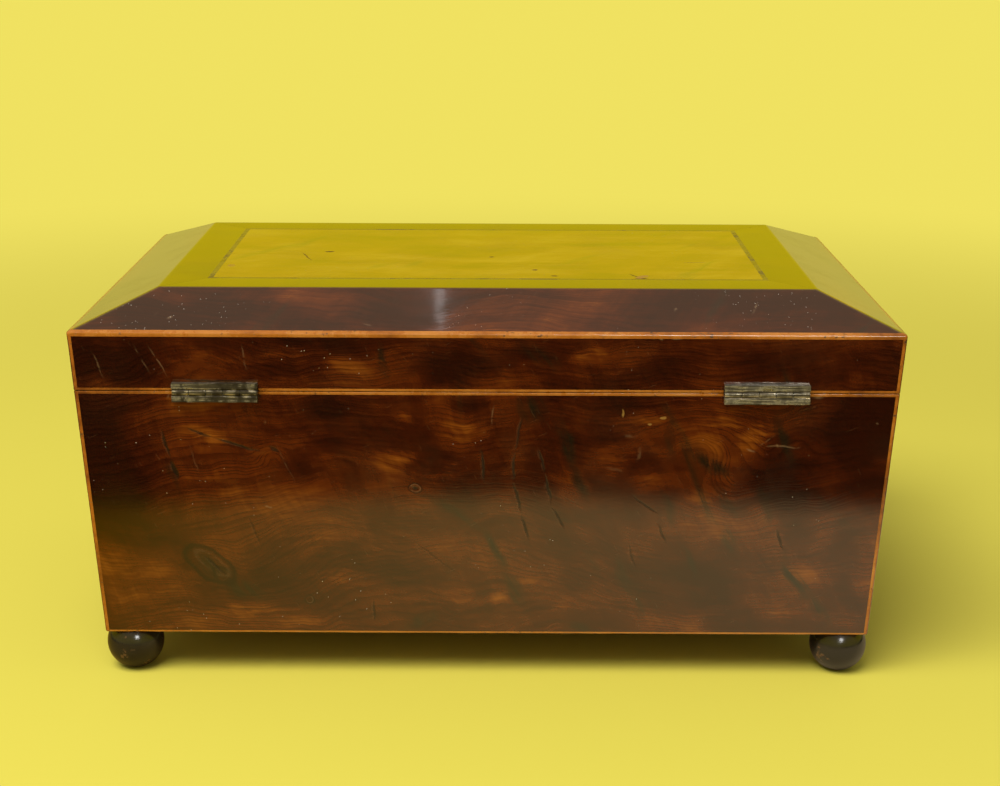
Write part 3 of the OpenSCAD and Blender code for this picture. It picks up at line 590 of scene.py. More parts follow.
def yew(name, across, up, seed, glows=(), glooms=(), smokes=(), cracks_and_shadow_lines=(), scratches=(), chips=(), rings=(),
        pale_rings=(), lifts=(), warmth=0.0, specks=0.35, wave=0.05, ripple=0.004, rubbed=0.8,
        cracked_polish=0.4):
    """Figured yew under French polish, in the plane of two directions, with its own marks in mm. The crack
    list also carries dark lines of painted shadow, and each crack gets a pale painted highlight along one
    side.
    """
    material, tree, shader, place = finish(name)
    flat = put(tree, "ShaderNodeCombineXYZ", {
        k: put(tree, "ShaderNodeVectorMath", {0: place, 1: way}, operation="DOT_PRODUCT").outputs["Value"]
        for k, way in enumerate((across, up))}).outputs[0]
    wavy = warp(tree, flat, 130, 0.0026)
    loose = warp(tree, flat, 50, 0.012)
    figure = {"Place": flat, "Seed": seed, "Warmth": warmth}
    if glows:
        figure["Glow"] = marks(tree, loose, glows, 1.0)
    if glooms:
        figure["Gloom"] = marks(tree, loose, glooms, 0.9)
    if smokes:
        figure["Smoke"] = marks(tree, loose, smokes, 0.8)
    if lifts:
        figure["Lift"] = calc(tree, "MULTIPLY", marks(tree, flat, lifts, 1.0), MM)
    wood = use(tree, yew_figure, **figure)
    worn = use(tree, handling, Place=flat, Specks=specks)
    colour = wood["Colour"]
    height = calc(tree, "MULTIPLY", wood["Height"], 0.10)
    polish_lost = 0.0
    broken = ease(tree, cloud(tree, flat, 300, 3, 0.6), 0.36, 0.56)
    if rings:
        colour = tint(tree, marks(tree, wavy, rings, shape="Ring"), colour, crack_and_shadow_black)
        pale = calc(tree, "MULTIPLY", marks(tree, wavy, pale_rings, shape="Ring"), calc(
            tree, "MULTIPLY", broken, 0.35))
        colour = tint(tree, pale, colour, bruise_and_highlight_tan)
    if cracks_and_shadow_lines:
        # Painted highlight: a pale edge shifted to one side of each crack, where light would catch its lip
        lit_side = stretch(tree, wavy, (1, 1, 1), shift=(0.6 * MM, 0, 0))
        edge = calc(tree, "MULTIPLY", marks(tree, lit_side, cracks_and_shadow_lines, 0.6), broken)
        edge = calc(tree, "MULTIPLY", edge, 0.08)
        colour = tint(tree, edge, colour, bruise_and_highlight_tan)
        # Dark crack lines, and on the back leaf also painted shadow lines round the hinges
        split_and_shadow = marks(tree, wavy, cracks_and_shadow_lines, 0.6)
        colour = tint(tree, calc(tree, "MULTIPLY", split_and_shadow, 0.85), colour, crack_and_shadow_black)
        height = calc(tree, "SUBTRACT", height, calc(tree, "MULTIPLY", split_and_shadow, 1.2))
        polish_lost = calc(tree, "MULTIPLY", split_and_shadow, cracked_polish)
    if scratches:
        scraped = calc(tree, "MULTIPLY", marks(tree, wavy, scratches, 0.9), calc(
            tree, "MULTIPLY", broken, 0.45))
        colour = tint(tree, scraped, colour, bruise_and_highlight_tan)
    if chips:
        gone = calc(tree, "MULTIPLY", marks(tree, wavy, chips, 0.35), ease(tree, cloud(
            tree, flat, 620, 2), 0.34, 0.50, 0.25, 1.0))
        colour = tint(tree, gone, colour, chip_ochre)
        height = calc(tree, "SUBTRACT", height, gone)
        polish_lost = calc(tree, "MAXIMUM", polish_lost, gone)
    rub = put(tree, "ShaderNodeAttribute", attribute_name="rubbed").outputs["Fac"]
    rub = calc(tree, "MULTIPLY", calc(tree, "MULTIPLY", rub, broken), rubbed)
    colour = tint(tree, rub, colour, rub_tan)
    colour = tint(tree, worn["Specks"], colour, speck_white)
    colour = tint(tree, calc(tree, "MULTIPLY", worn["Scratches"], 0.12), colour, bruise_and_highlight_tan)
    polish = relief(tree, cloud(tree, flat, 26, 2), wave * MM)
    grain_in_polish = put(tree, "ShaderNodeBump", {
        "Height": wood["Height"], "Distance": ripple * MM, "Normal": polish}).outputs[0]
    fine_relief = put(tree, "ShaderNodeBump", {"Height": height, "Distance": 0.05 * MM, "Normal": polish})
    polish_left = 1.0
    roughness = ease(tree, worn["Dulled"], 0.0, 1.0, 0.11, 0.22)
    if cracks_and_shadow_lines or chips:
        polish_left = calc(tree, "MULTIPLY_ADD", polish_lost, -0.9, 1.0)
        roughness = calc(tree, "MULTIPLY_ADD", polish_lost, 0.45, roughness)
    wire(tree, shader, Base_Color=colour, Normal=fine_relief.outputs[0], Coat_Normal=grain_in_polish,
         Coat_Weight=polish_left, Coat_Roughness=polish_roughness, Roughness=roughness)
    return material


# Back of the body and of the lid's side, cut from one leaf. Its knots, smoky streaks and checks
# are placed as seen from behind: across from the middle and up from the floor. The list of checks
# also holds dark lines of painted shadow round the two hinge recesses.
back_glows = [
    (-104, 98, 15, 5, -12, 0.9), (-97, 27, 22, 5, 3, 0.9), (-70, 24, 16, 4, 6, 0.7),
    (-32, 107, 7, 3.5, 0, 1.0), (-34, 90, 13, 6, 12, 1.0), (-16, 84, 15, 8, -6, 0.7),
    (-8, 100, 16, 6, -4, 0.7), (57, 105, 12, 7, 0, 0.8), (48, 90, 17, 9, 10, 0.8),
    (62, 82, 13, 7, -12, 0.7), (102, 99, 12, 6, 30, 1.0), (88, 104, 10, 4, -10, 0.6),
    (-14, 33, 22, 8, 5, 0.7), (5, 33, 6, 5, -60, 1.0), (27, 29, 8, 4, 10, 0.9), (80, 74, 7, 4, -10, 0.8),
    (112, 27, 12, 5, 10, 0.9), (-62, 60, 20, 12, 18, 0.6), (-58, 42, 22, 9, 12, 0.6),
    (128, 58, 10, 15, 0, 0.4), (-101, 128, 12, 3.5, -5, 0.8), (-74, 130, 16, 5, -20, 0.7),
    (-52, 126, 14, 6, -20, 0.7), (38, 131, 14, 5, 10, 0.8), (-42, 55, 10, 14, -50, 0.4)]
back_glooms = [
    (-148, 85, 32, 48, 0, 1.0), (-140, 128, 34, 13, 0, 0.9), (-60, 108, 14, 8, 0, 0.6),
    (-14, 124, 22, 11, 0, 0.7), (-8, 112, 10, 7, 0, 0.8), (20, 86, 13, 22, -20, 0.7),
    (112, 84, 22, 22, 0, 0.8), (140, 100, 18, 26, 0, 0.8), (110, 126, 40, 12, 0, 0.7),
    (70, 126, 18, 10, 0, 0.6), (-72, 86, 12, 10, 0, 0.4), (138, 44, 16, 24, 0, 0.5)]
back_smokes = [
    (-106, 46, 12, 6.5, -40, 0.9), (-94, 37, 15, 4.5, -38, 0.8), (-118, 82, 8, 1.8, -75, 0.9),
    (18, 108, 9, 8, 0, 0.9), (30, 95, 14, 3.5, -68, 0.9), (36, 80, 10, 3, -70, 0.8),
    (3, 54, 14, 3, -66, 1.0), (10, 37, 11, 4, -62, 1.0), (-12, 69, 16, 2.5, -32, 0.8),
    (-26, 22, 9, 3.5, 10, 0.9), (-20, 75, 8, 1.5, -12, 0.7), (69, 100, 12, 3, -75, 0.8),
    (84, 89, 14, 5, -34, 0.9), (113, 98, 14, 4, -72, 0.8), (70, 69, 9, 3, -60, 1.0),
    (77, 48, 10, 2.5, -62, 0.9), (119, 42, 16, 3.5, -62, 1.0), (127, 30, 9, 3, -60, 0.9),
    (94, 56, 10, 4, -70, 0.7), (52, 40, 14, 3, -68, 0.8), (58, 30, 10, 3, -74, 0.7),
    (40, 48, 9, 2, -60, 0.7), (36, 21, 7, 3, 0, 0.8), (92, 72, 12, 3.5, -50, 0.7),
    (104, 70, 10, 3, -78, 0.6), (-38, 128, 2.5, 9, 0, 0.8), (18, 130, 12, 5, -30, 0.5)]
back_cracks_and_hinge_shadows = [
    (-120.4, 95, 7, 0.75, -75, 0.9), (-117.7, 84.8, 5, 1.3, -75, 1.0), (-107.8, 99.5, 6, 0.7, -18, 0.8),
    (-94, 95.2, 11, 0.7, -16, 0.9), (-1.4, 87, 8.5, 0.7, -85, 1.0), (12, 100, 8.6, 0.6, 80, 0.8),
    (10.3, 86, 7, 0.7, -93, 0.9), (11.7, 74, 7, 0.75, -74, 1.0), (14.8, 61.8, 7, 0.9, -77, 1.0),
    (20.7, 89, 6, 0.6, -77, 0.9), (23.3, 77.6, 7.5, 0.75, -77, 1.0), (27.4, 66, 6, 0.7, -60, 0.9),
    (-43.5, 27.3, 5.5, 0.6, -90, 0.8), (60.2, 71.7, 7.4, 0.7, -38, 0.9), (112, 57.3, 6, 0.7, -70, 0.9),
    (-27, 77.6, 1.3, 1.0, 0, 1.0), (-80, 93.3, 2.4, 1.0, -30, 0.8), (-104, 45.5, 7, 0.8, -44, 0.8),
    (67, 60, 6, 0.7, -68, 0.8), (56, 50, 7, 0.6, -74, 0.7), (-88, 60, 7, 0.5, -70, 0.5),
    # The last eight rows are painted shadow, not checks: dark lines above, below and beside each hinge,
    # where its recess falls in shade
    (22, 20.5, 3, 0.6, 10, 0.5), (-19, 49, 13, 0.5, -38, 0.5), (-101, 120.0, 16.4, 0.5, 0, 0.9),
    (-101, 112.0, 16.4, 0.5, 0, 0.9), (104, 120.0, 16.4, 0.5, 0, 0.9), (104, 112.0, 16.4, 0.5, 0, 0.9),
    (-117.2, 116, 3.9, 0.5, 90, 0.8), (-84.8, 116, 3.9, 0.5, 90, 0.8), (87.8, 116, 3.9, 0.5, 90, 0.8),
    (120.2, 116, 3.9, 0.5, 90, 0.8)]
back_scratches = [
    (110.8, 94.8, 10, 0.5, -1, 0.7), (105, 97, 4.5, 0.5, 35, 0.8), (109.3, 94.9, 1.1, 0.9, 0, 1.0),
    (-83, 69.9, 2.0, 0.7, -20, 1.0), (2.2, 107.1, 5.5, 0.5, -97, 0.6), (99, 93.5, 2.4, 0.6, -20, 0.9),
    (-143.9, 126, 7, 0.45, -68, 0.5), (-127.5, 128.4, 8.2, 0.45, -62, 0.5),
    (-121.5, 127.3, 9.4, 0.45, -62, 0.6), (-89.9, 129.2, 6.8, 0.45, -80, 0.5), (57, 92, 4, 1.2, 75, 0.4),
    (54, 99, 3.4, 1.0, 5, 0.4), (48, 86, 4, 0.9, -20, 0.35), (-83, 104, 0.8, 0.7, 0, 0.7),
    (-76, 88, 12, 0.5, -66, 0.25), (-110, 88, 10, 0.5, -72, 0.25), (120, 110, 6, 0.4, 20, 0.4),
    (146, 104, 0.8, 0.7, 0, 0.9), (123, 114.6, 3.0, 1.3, 10, 0.8), (-118.9, 114.4, 1.4, 0.6, 60, 0.8),
    (70, 137, 4, 0.5, 0, 0.8), (64, 137, 1.0, 0.6, 0, 1.0)]
back_chips = [
    (50.7, 107.9, 1.9, 0.5, -80, 0.6), (65.9, 106.4, 1.7, 0.7, 0, 0.6), (61, 103.5, 0.8, 0.5, 0, 0.6)]
back_rings = [
    (-106, 46, 13, 6.8, -38, 0.8), (-101, 41, 6, 3.4, -44, 0.7), (-68, 31.4, 2.6, 2.3, 0, 0.7),
    (-27, 77.6, 3.0, 2.4, 0, 0.6), (-67, 31.4, 1.3, 1.2, 0, 0.6)]
back_pale_rings = [
    (-105, 46.5, 9.5, 3.4, -40, 0.2), (-27, 77.6, 2.2, 1.8, 0, 0.8), (-68, 31.4, 1.9, 1.7, 0, 0.4)]
back_lifts = [
    (-12, 60, 84, 56, 0, 22), (-106, 46, 22, 14, -40, 7), (-68, 31, 8, 7, 0, 3), (-27, 77, 8, 7, 0, 3),
    (-81, 92, 9, 7, 0, 4), (78, 96, 34, 22, 10, 12), (-104, 128, 34, 16, 0, 9), (116, 98, 14, 12, 0, 6)]

body_roundings = [
    (walls + [underside], corner_round, corner_cuts), (walls + [base_rim], rim_round, rim_cuts)]
lid_roundings = [
    (walls + slopes, corner_round, corner_cuts), (slopes + [plateau_top], roof_round, roof_cuts),
    (walls + [lid_rim], rim_round, rim_cuts)]

back_yew = yew("yew_back_leaf", (-1, 0, 0), (0, 0, 1), 0.0, back_glows, back_glooms, back_smokes,
               back_cracks_and_hinge_shadows, back_scratches, back_chips, back_rings, back_pale_rings, back_lifts,
               warmth=0.015, specks=0.10)
wall_yews = {
    "back": back_yew,
    "front": yew("yew_front_leaf", (1, 0, 0), (0, 0, 1), 0.71, lifts=[(20, 70, 80, 50, 0, 14)]),
    "left": yew("yew_left_leaf", (0, -1, 0), (0, 0, 1), 1.37, lifts=[(-15, 60, 60, 50, 0, 12)]),
    "right": yew("yew_right_leaf", (0, 1, 0), (0, 0, 1), 2.09, lifts=[(10, 80, 60, 50, 0, 12)]),
}
for face, material in wall_yews.items():
    for body, roundings in (("base", body_roundings), ("lid", lid_roundings)):
        node = f"{body}_{face}_veneer"
        mesh = worn_copy(node, f"{node}_leaf", material, [])
        weigh_normals(fresh_object(f"{node}_leaf", mesh, body, node, slot="yew_veneer"))


# Slopes and flat of the lid. Four mitred leaves of yew, a crossband round the flat, and a panel
# leaf inside it. The grain of the crossband runs across each strip.
slope_scrapes = [
    (100.5, 85, 5, 0.7, -65, 0.9), (71, 86, 1.6, 0.9, -80, 1.0), (-118, 92, 1.9, 1.0, -30, 0.9),
    (-44, 96, 3, 0.6, 20, 0.5), (-20, 78, 4, 0.5, -50, 0.4)]
slope_yews = {
    "back": yew("yew_back_slope", (-1, 0, 0), (0, 1, 0), 3.3, warmth=-0.04, specks=0.9, ripple=0.010,
                rubbed=0.4, scratches=slope_scrapes, glooms=[(-104, 86, 52, 16, 0, 0.8)]),
    "front": yew("yew_front_slope", (1, 0, 0), (0, -1, 0), 3.9, specks=0.6, ripple=0.010, rubbed=0.4),
    "left": yew("yew_left_slope", (0, -1, 0), (-1, 0, 0), 4.4, specks=0.5, ripple=0.024, rubbed=0.2),
    "right": yew("yew_right_slope", (0, 1, 0), (1, 0, 0), 5.1, specks=0.5, ripple=0.024, rubbed=0.2),
}
for face, material in slope_yews.items():
    node = f"slope_{face}_veneer"
    mesh = worn_copy(node, f"{node}_leaf", material, lid_roundings[:2])
    weigh_normals(fresh_object(f"{node}_leaf", mesh, "lid", node, slot="yew_veneer"))

# Marks of the panel: across from the middle, and towards the hinge side
panel_cracks = [
    (-67.1, -0.9, 2.6, 1.6, 0, 1.0), (-75.5, 10, 11.5, 0.45, 72, 0.7), (18.8, 36.9, 1.6, 1.8, 0, 0.8),
    (1.2, 9.6, 1.4, 1.6, 0, 0.8), (26.2, 48.5, 1.8, 1.4, 0, 0.8), (60.0, 53.0, 3.0, 1.3, 0, 1.0),
    (58.0, 48.0, 5.5, 0.5, 60, 0.9), (-112, 4, 9, 0.5, 4, 0.5), (84, 20, 7, 0.6, -6, 0.5)]
panel_chips = [(60.6, 50.0, 2.2, 4.2, 30, 0.9), (-104, 30, 2.0, 3.0, 0, 0.5)]
panel_glooms = [
    (-30, -34, 60, 9, 0, 0.5), (58, -20, 40, 6, 0, 0.4), (-70, 22, 26, 5, 4, 0.4),
    (10, 22, 34, 4, -3, 0.4), (84, 36, 22, 5, 3, 0.4)]
panel_yew = yew("yew_panel_leaf", (-1, 0, 0), (0, 1, 0), 6.2, glooms=panel_glooms, cracks_and_shadow_lines=panel_cracks,
                chips=panel_chips, warmth=0.28, specks=0.2, wave=0.07, ripple=0.016, cracked_polish=1.0)
mesh = worn_copy("lid_panel_veneer", "lid_panel_leaf", panel_yew, [])
fresh_object("lid_panel_leaf", mesh, "lid", "lid_panel_veneer", slot="yew_veneer")


def crossband(name, turn):
    """Yew cut across the grain, with short bands of tone side by side."""
    material, tree, shader, place = finish(name)
    across = stretch(tree, place, (1, 1, 1), (0, 0, turn))
    grain = use(tree, straight_grain, Place=across, Waviness=0.003)
    slips = cloud(tree, stretch(tree, across, (2, 60, 2)), 1, 2, 0.5)
    tone = weigh(tree, grain["Tone"], slips, 0.6)
    colour = shades(tree, tone, (0.36, yew_maroon), (0.5, yew_brown), (0.66, yew_russet))
    worn = use(tree, handling, Place=place, Specks=0.3)
    colour = tint(tree, calc(tree, "MULTIPLY", grain["Pores"], 0.5), colour, yew_maroon)
    polish = relief(tree, cloud(tree, place, 30, 2), 0.05 * MM)
    fine_relief = put(tree, "ShaderNodeBump", {
        "Height": grain["Tone"], "Distance": 0.01 * MM, "Normal": polish})
    wire(tree, shader, Base_Color=colour, Normal=fine_relief.outputs[0], Coat_Weight=1.0,
         Coat_Normal=polish, Coat_Roughness=polish_roughness,
         Roughness=ease(tree, worn["Dulled"], 0.0, 1.0, 0.11, 0.22))
    return material


def loose_parts(node, name, body, material_for, roundings, slot):
    """Parts a node of several solids into pieces, named and finished by the side on which each lies."""
    whole = worn_copy(node, name, None, roundings)
    whole.materials.clear()
    work = bmesh.new()
    work.from_mesh(whole)
    seen = set()
    parts = []
    for start in work.verts:
        if start.index in seen:
            continue
        group, rim = [start], [start]
        seen.add(start.index)
        while rim:
            vertex = rim.pop()
            for edge in vertex.link_edges:
                other = edge.other_vert(vertex)
                if other.index not in seen:
                    seen.add(other.index)
                    group.append(other)
                    rim.append(other)
        middle = sum((vertex.co for vertex in group), Vector()) / len(group)
        side, material = material_for(middle)
        parts.append((strip_order.index(side), side, material, {vertex.index for vertex in group}))
    for _, side, material, keep in sorted(parts, key=lambda row: row[0]):
        part = work.copy()
        bmesh.ops.delete(part, geom=[v for v in part.verts if v.index not in keep], context="VERTS")
        mesh = bpy.data.meshes.new(f"{name}_{side}")
        part.to_mesh(mesh)
        part.free()
        mesh.materials.append(material)
        mesh.set_sharp_from_angle(angle=math.radians(35))
        weigh_normals(fresh_object(f"{name}_{side}", mesh, body, slot=slot))
    work.free()
    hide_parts(node)


def side_of(middle, high):
    """The side on which a strip's middle lies, of a rectangle with this far corner."""
    if abs(middle.x) / high.x > abs(middle.y) / high.y:
        return "right" if middle.x > 0 else "left"
    return "back" if middle.y > 0 else "front"


strip_order = ("right", "left", "front", "back")
long_band = crossband("crossband_long", math.pi / 2)
end_band = crossband("crossband_end", 0.0)


def band_finish(middle):
    """The side of a crossband, and the finish that suits its length."""
    side = side_of(middle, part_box("lid_crossbands")[1])
    return side, long_band if side in ("front", "back") else end_band


loose_parts("lid_crossbands", "lid_crossband", "lid", band_finish, lid_roundings[1:2], "crossband_veneer")


# Boxwood strings. Square and flat slips glued into rebates along every edge. They have gone
# orange under the polish, and their arrises are rubbed, chipped and dirty, and darkened by painted shade.
box_pale = (0.52, 0.195, 0.030, 1)
box_amber = (0.39, 0.120, 0.012, 1)
box_stained = (0.20, 0.055, 0.008, 1)
box_grime_and_shade = (0.035, 0.012, 0.005, 1)


def boxwood(name, dirt=0.5, dark_arris=0.85, painted_light_lift=0.0):
    """Close-grained boxwood, varied along its length, with dirty nicks, painted shade mixed with dirt along
    its worn arris, and a painted lift that can make it paler.
    """
    material, tree, shader, place = finish(name)
    tone = weigh(tree, cloud(tree, place, 38, 3), cloud(tree, place, 330, 3, 0.6), 0.7)
    # The last argument lifts the whole string paler, a painted light
    colour = shades(tree, calc(tree, "ADD", tone, painted_light_lift), (0.36, box_stained), (0.48, box_amber),
                    (0.66, box_pale))
    nicks = calc(tree, "MULTIPLY", ease(tree, cloud(tree, place, 620, 2), 0.60, 0.68),
                 ease(tree, cloud(tree, place, 70, 3), 0.46, 0.60))
    colour = tint(tree, calc(tree, "MULTIPLY", nicks, dirt), colour, box_grime_and_shade)
    # Painted shade mixed with dirt: the rounded arris is darkened by the dark_arris share
    rub = put(tree, "ShaderNodeAttribute", attribute_name="rubbed").outputs["Fac"]
    arris_dirt_and_shade = calc(tree, "MULTIPLY", ease(tree, rub, 0.05, 0.60), ease(tree, tone, 0.3, 0.7, 1.0, 0.6))
    colour = tint(tree, calc(tree, "MULTIPLY", arris_dirt_and_shade, dark_arris), colour, box_grime_and_shade)
    height = calc(tree, "SUBTRACT", cloud(tree, place, 500, 2), nicks)
    roughness = calc(tree, "MULTIPLY_ADD", nicks, 0.3, ease(tree, tone, 0.3, 0.7, 0.20, 0.32))
    wire(tree, shader, Base_Color=colour, Normal=relief(tree, height, 0.03 * MM), Coat_Weight=0.6,
         Coat_Roughness=0.08, Roughness=roughness)
    return material


string_wear = 0.30
wear_step = 4 * MM
# The second number is dirt in the nicks; the third darkens the rounded arris, painted shade mixed with dirt,
# most on the corner strings
level_box = boxwood("boxwood_level_string", 0.85, 0.25)
corner_box = boxwood("boxwood_corner_string", 0.85, 0.92)
# The string round the foot of the body gets no arris shade and is lifted paler, painted light against the
# shade it faces under the body
foot_box = boxwood("boxwood_foot_string", 0.6, 0.0, 0.14)
for node, name, body, material, roundings in (
        ("base_corner_strings", "base_corner_string", "base", corner_box, body_roundings),
        ("base_rim_strings", "base_rim_string", "base", level_box, body_roundings),
        ("base_bottom_strings", "base_foot_string", "base", foot_box, body_roundings),
        ("lid_corner_strings", "lid_corner_string", "lid", corner_box, lid_roundings[::2]),
        ("lid_shoulder_strings", "lid_shoulder_string", "lid", level_box, lid_roundings[:1]),
        ("lid_rim_strings", "lid_rim_string", "lid", level_box, lid_roundings[::2])):
    mesh = worn_copy(node, name, material, roundings, string_wear, wear_step)
    weigh_normals(fresh_object(name, mesh, body, node, slot="boxwood"))


# Feathered string. Slanting slips of pale and stained wood lie side by side in a narrow groove round
# the panel. Stretches of it are worn away or filled with dirt.
feather_pitch = 0.95 * MM
feather_pale = (0.17, 0.095, 0.030, 1)
feather_dark = (0.018, 0.009, 0.004, 1)
feather_lost = (0.05, 0.035, 0.025, 1)

material, tree, shader, place = finish("feathered_string")
slant = stretch(tree, warp(tree, place, 60, 0.0012), (1, 1, 1), (0, 0, math.radians(45)))
slip = put(tree, "ShaderNodeSeparateXYZ", {0: slant}).outputs["X"]
stripe = calc(tree, "FRACT", calc(tree, "DIVIDE", slip, feather_pitch))
dark_slip = calc(tree, "MULTIPLY", ease(tree, stripe, 0.42, 0.5), ease(tree, stripe, 1.0, 0.92))
pale_slip = shades(tree, cloud(tree, place, 120, 3), (0.35, yew_russet), (0.65, feather_pale))
colour = tint(tree, dark_slip, pale_slip, feather_dark)
lost = ease(tree, cloud(tree, place, 45, 4, 0.65), 0.50, 0.64)
colour = tint(tree, calc(tree, "MULTIPLY", lost, 0.6), colour, feather_lost)
height = calc(tree, "SUBTRACT", calc(tree, "MULTIPLY", dark_slip, 0.3), lost)
wire(tree, shader, Base_Color=colour, Normal=relief(tree, height, 0.10 * MM), Coat_Weight=0.6,
     Coat_Roughness=0.12, Roughness=ease(tree, lost, 0.0, 1.0, 0.22, 0.6))
mesh = worn_copy("lid_panel_strings", "lid_feathered_string", material, [])
fresh_object("lid_feathered_string", mesh, "lid", "lid_panel_strings", slot="boxwood")


# Rims. Thin rosewood facings are glued over the edges of the boards of body and lid, inside the
# strings, and the two sets meet when the lid is shut.
rose_dark = (0.028, 0.010, 0.006, 1)
rose_light = (0.12, 0.042, 0.018, 1)
material, tree, shader, place = finish("rosewood_facing")
grain = use(tree, straight_grain, Place=place, Waviness=0.005)
colour = shades(tree, grain["Tone"], (0.35, rose_dark), (0.68, rose_light))
colour = tint(tree, calc(tree, "MULTIPLY", grain["Pores"], 0.7), colour, crack_and_shadow_black)
wire(tree, shader, Base_Color=colour, Normal=relief(tree, grain["Tone"], 0.02 * MM),
     Roughness=ease(tree, grain["Tone"], 0.2, 0.8, 0.28, 0.42))
dress(material, "base_rim_facings", "lid_rim_facings")


# Linings. Green paper pasted over the boards inside, faded where light has reached it, foxed
# and rubbed.
paper_green = (0.050, 0.105, 0.060, 1)
paper_faded = (0.130, 0.175, 0.095, 1)
foxing = (0.16, 0.11, 0.045, 1)
material, tree, shader, place = finish("lining_paper")
fibre = cloud(tree, place, 900, 4, 0.7)
colour = shades(tree, cloud(tree, place, 16, 4, 0.6), (0.35, paper_green), (0.68, paper_faded))
colour = tint(tree, ease(tree, fibre, 0.45, 0.75, 0.0, 0.35), colour, paper_faded)
colour = tint(tree, ease(tree, cloud(tree, place, 75, 3, 0.6), 0.62, 0.72, 0.0, 0.5), colour, foxing)
paper_height = calc(tree, "ADD", calc(tree, "MULTIPLY", fibre, 0.3), cloud(tree, place, 55, 3))
wire(tree, shader, Base_Color=colour, Roughness=ease(tree, fibre, 0.2, 0.8, 0.75, 0.92),
     Normal=relief(tree, paper_height, 0.10 * MM))
dress(material, "well_lining", "lid_lining")


# Stop hinges. Cast and filed brass: each leaf is let into a rim, and its outside flange stops the
# lid past the upright. The brass has gone olive brown, with bright broken rubs on the high parts. The
# hinge at the left end has more of them, partly wear and partly a painted highlight for the light on that
# end.
brass_tarnished = (0.105, 0.086, 0.056, 1)
brass_brown = (0.036, 0.028, 0.018, 1)
brass_rub_and_highlight = (0.88, 0.81, 0.66, 1)
filed_edge = 0.24 * MM


def old_brass(name, rubbed=1.0):
    """Tarnished brass with rubbed streaks along X and pits; a larger share of rubs also serves as painted
    highlight.
    """
    material, tree, shader, place = finish(name)
    streaks = cloud(tree, stretch(tree, place, (55, 1700, 1700)), 1, 4, 0.65)
    patches = cloud(tree, place, 210, 4, 0.6)
    high_part = ease(tree, patches, 0.40, 0.62, 0.45 * max(rubbed - 1, 0), min(rubbed, 1))
    rub = calc(tree, "MULTIPLY", ease(tree, streaks, 0.54 - 0.06 * rubbed, 0.68 - 0.06 * rubbed), high_part)
    colour = shades(tree, patches, (0.34, brass_brown), (0.62, brass_tarnished))
    colour = tint(tree, rub, colour, brass_rub_and_highlight)
    pits = ease(tree, cloud(tree, place, 1400, 2), 0.62, 0.72)
    height = calc(tree, "SUBTRACT", calc(tree, "ADD", streaks, calc(tree, "MULTIPLY", patches, 0.8)), pits)
    wire(tree, shader, Base_Color=colour, Metallic=ease(tree, rub, 0.0, 1.0, 0.62, 1.0),
         Roughness=ease(tree, rub, 0.0, 1.0, 0.44, 0.25), Normal=relief(tree, height, 0.07 * MM))
    return material


def filed_copy(node, name, body, material, slot, width=filed_edge, segments=2):
    """A copy of a rigid piece with its sharp edges eased by a file or by wear."""
    work = clean_copy(node)
    for face in work.faces:
        face.smooth = True
    mesh = bpy.data.meshes.new(name)
    work.to_mesh(mesh)
    work.free()
    mesh.materials.append(material)
    mesh.set_sharp_from_angle(angle=math.radians(35))
    piece = fresh_object(name, mesh, body, node, slot=slot)
    edges = piece.modifiers.new("eased_edges", "BEVEL")
    edges.width = width
    edges.segments = segments
    edges.limit_method = "ANGLE"
    edges.angle_limit = math.radians(35)
    edges.harden_normals = False
    return weigh_normals(piece)


# The left-end hinge gets more bright rubs than the right: partly wear, partly a painted highlight
for end, rubbed in (("left", 1.45), ("right", 0.9)):
    hinge_brass = old_brass(f"hinge_brass_{end}", rubbed)
    filed_copy(f"hinge_base_leaf_{end}", f"stop_hinge_base_leaf_{end}", "base", hinge_brass, "brass")
    filed_copy(f"hinge_lid_leaf_{end}", f"stop_hinge_lid_leaf_{end}", "lid", hinge_brass, "brass")

screw_brass = old_brass("screw_brass", 0.7)
dress(screw_brass, "base_screws", "lid_screws")

steel_dark = (0.16, 0.15, 0.14, 1)
steel_bright = (0.46, 0.45, 0.43, 1)
steel_rust = (0.09, 0.045, 0.02, 1)
steel, tree, shader, place = finish("bright_steel")
steel_worn = cloud(tree, place, 260, 4, 0.65)
rust = ease(tree, cloud(tree, place, 480, 4, 0.7), 0.58, 0.70)
colour = shades(tree, steel_worn, (0.3, steel_dark), (0.7, steel_bright))
colour = tint(tree, calc(tree, "MULTIPLY", rust, 0.6), colour, steel_rust)
turning = cloud(tree, stretch(tree, place, (1200, 90, 1200)), 1, 2)
wire(tree, shader, Base_Color=colour, Metallic=calc(tree, "MULTIPLY_ADD", rust, -0.6, 1.0),
     Roughness=ease(tree, steel_worn, 0.3, 0.7, 0.42, 0.26),
     Normal=relief(tree, calc(tree, "ADD", turning, rust), 0.03 * MM))
dress(steel, "hinge_pins")


# Lock. A brass box lock in the front board, whose bolt slides through the two loops of the lid's
# plate, and a boxwood lozenge round the keyhole.
lock_brass = old_brass("lock_brass", 0.85)
filed_copy("lock_case", "box_lock_case", "base", lock_brass, "brass", 0.12 * MM)
filed_copy("lock_loop_plate", "lock_loop_plate_filed", "lid", lock_brass, "brass", 0.12 * MM)
filed_copy("lock_bolt", "sliding_bolt", "lock_bolt", steel, "steel", 0.1 * MM)
filed_copy("escutcheon", "keyhole_lozenge", "base", boxwood("boxwood_lozenge", 0.5), "boxwood", 0.1 * MM)

# Key. Steel, filed by hand, with a ring bow and a plain bit. Its stem is drilled for the pin of the
# lock, on which it turns.
filed_copy("key", "casket_key", "key", steel, "steel", 0.3 * MM, 3)


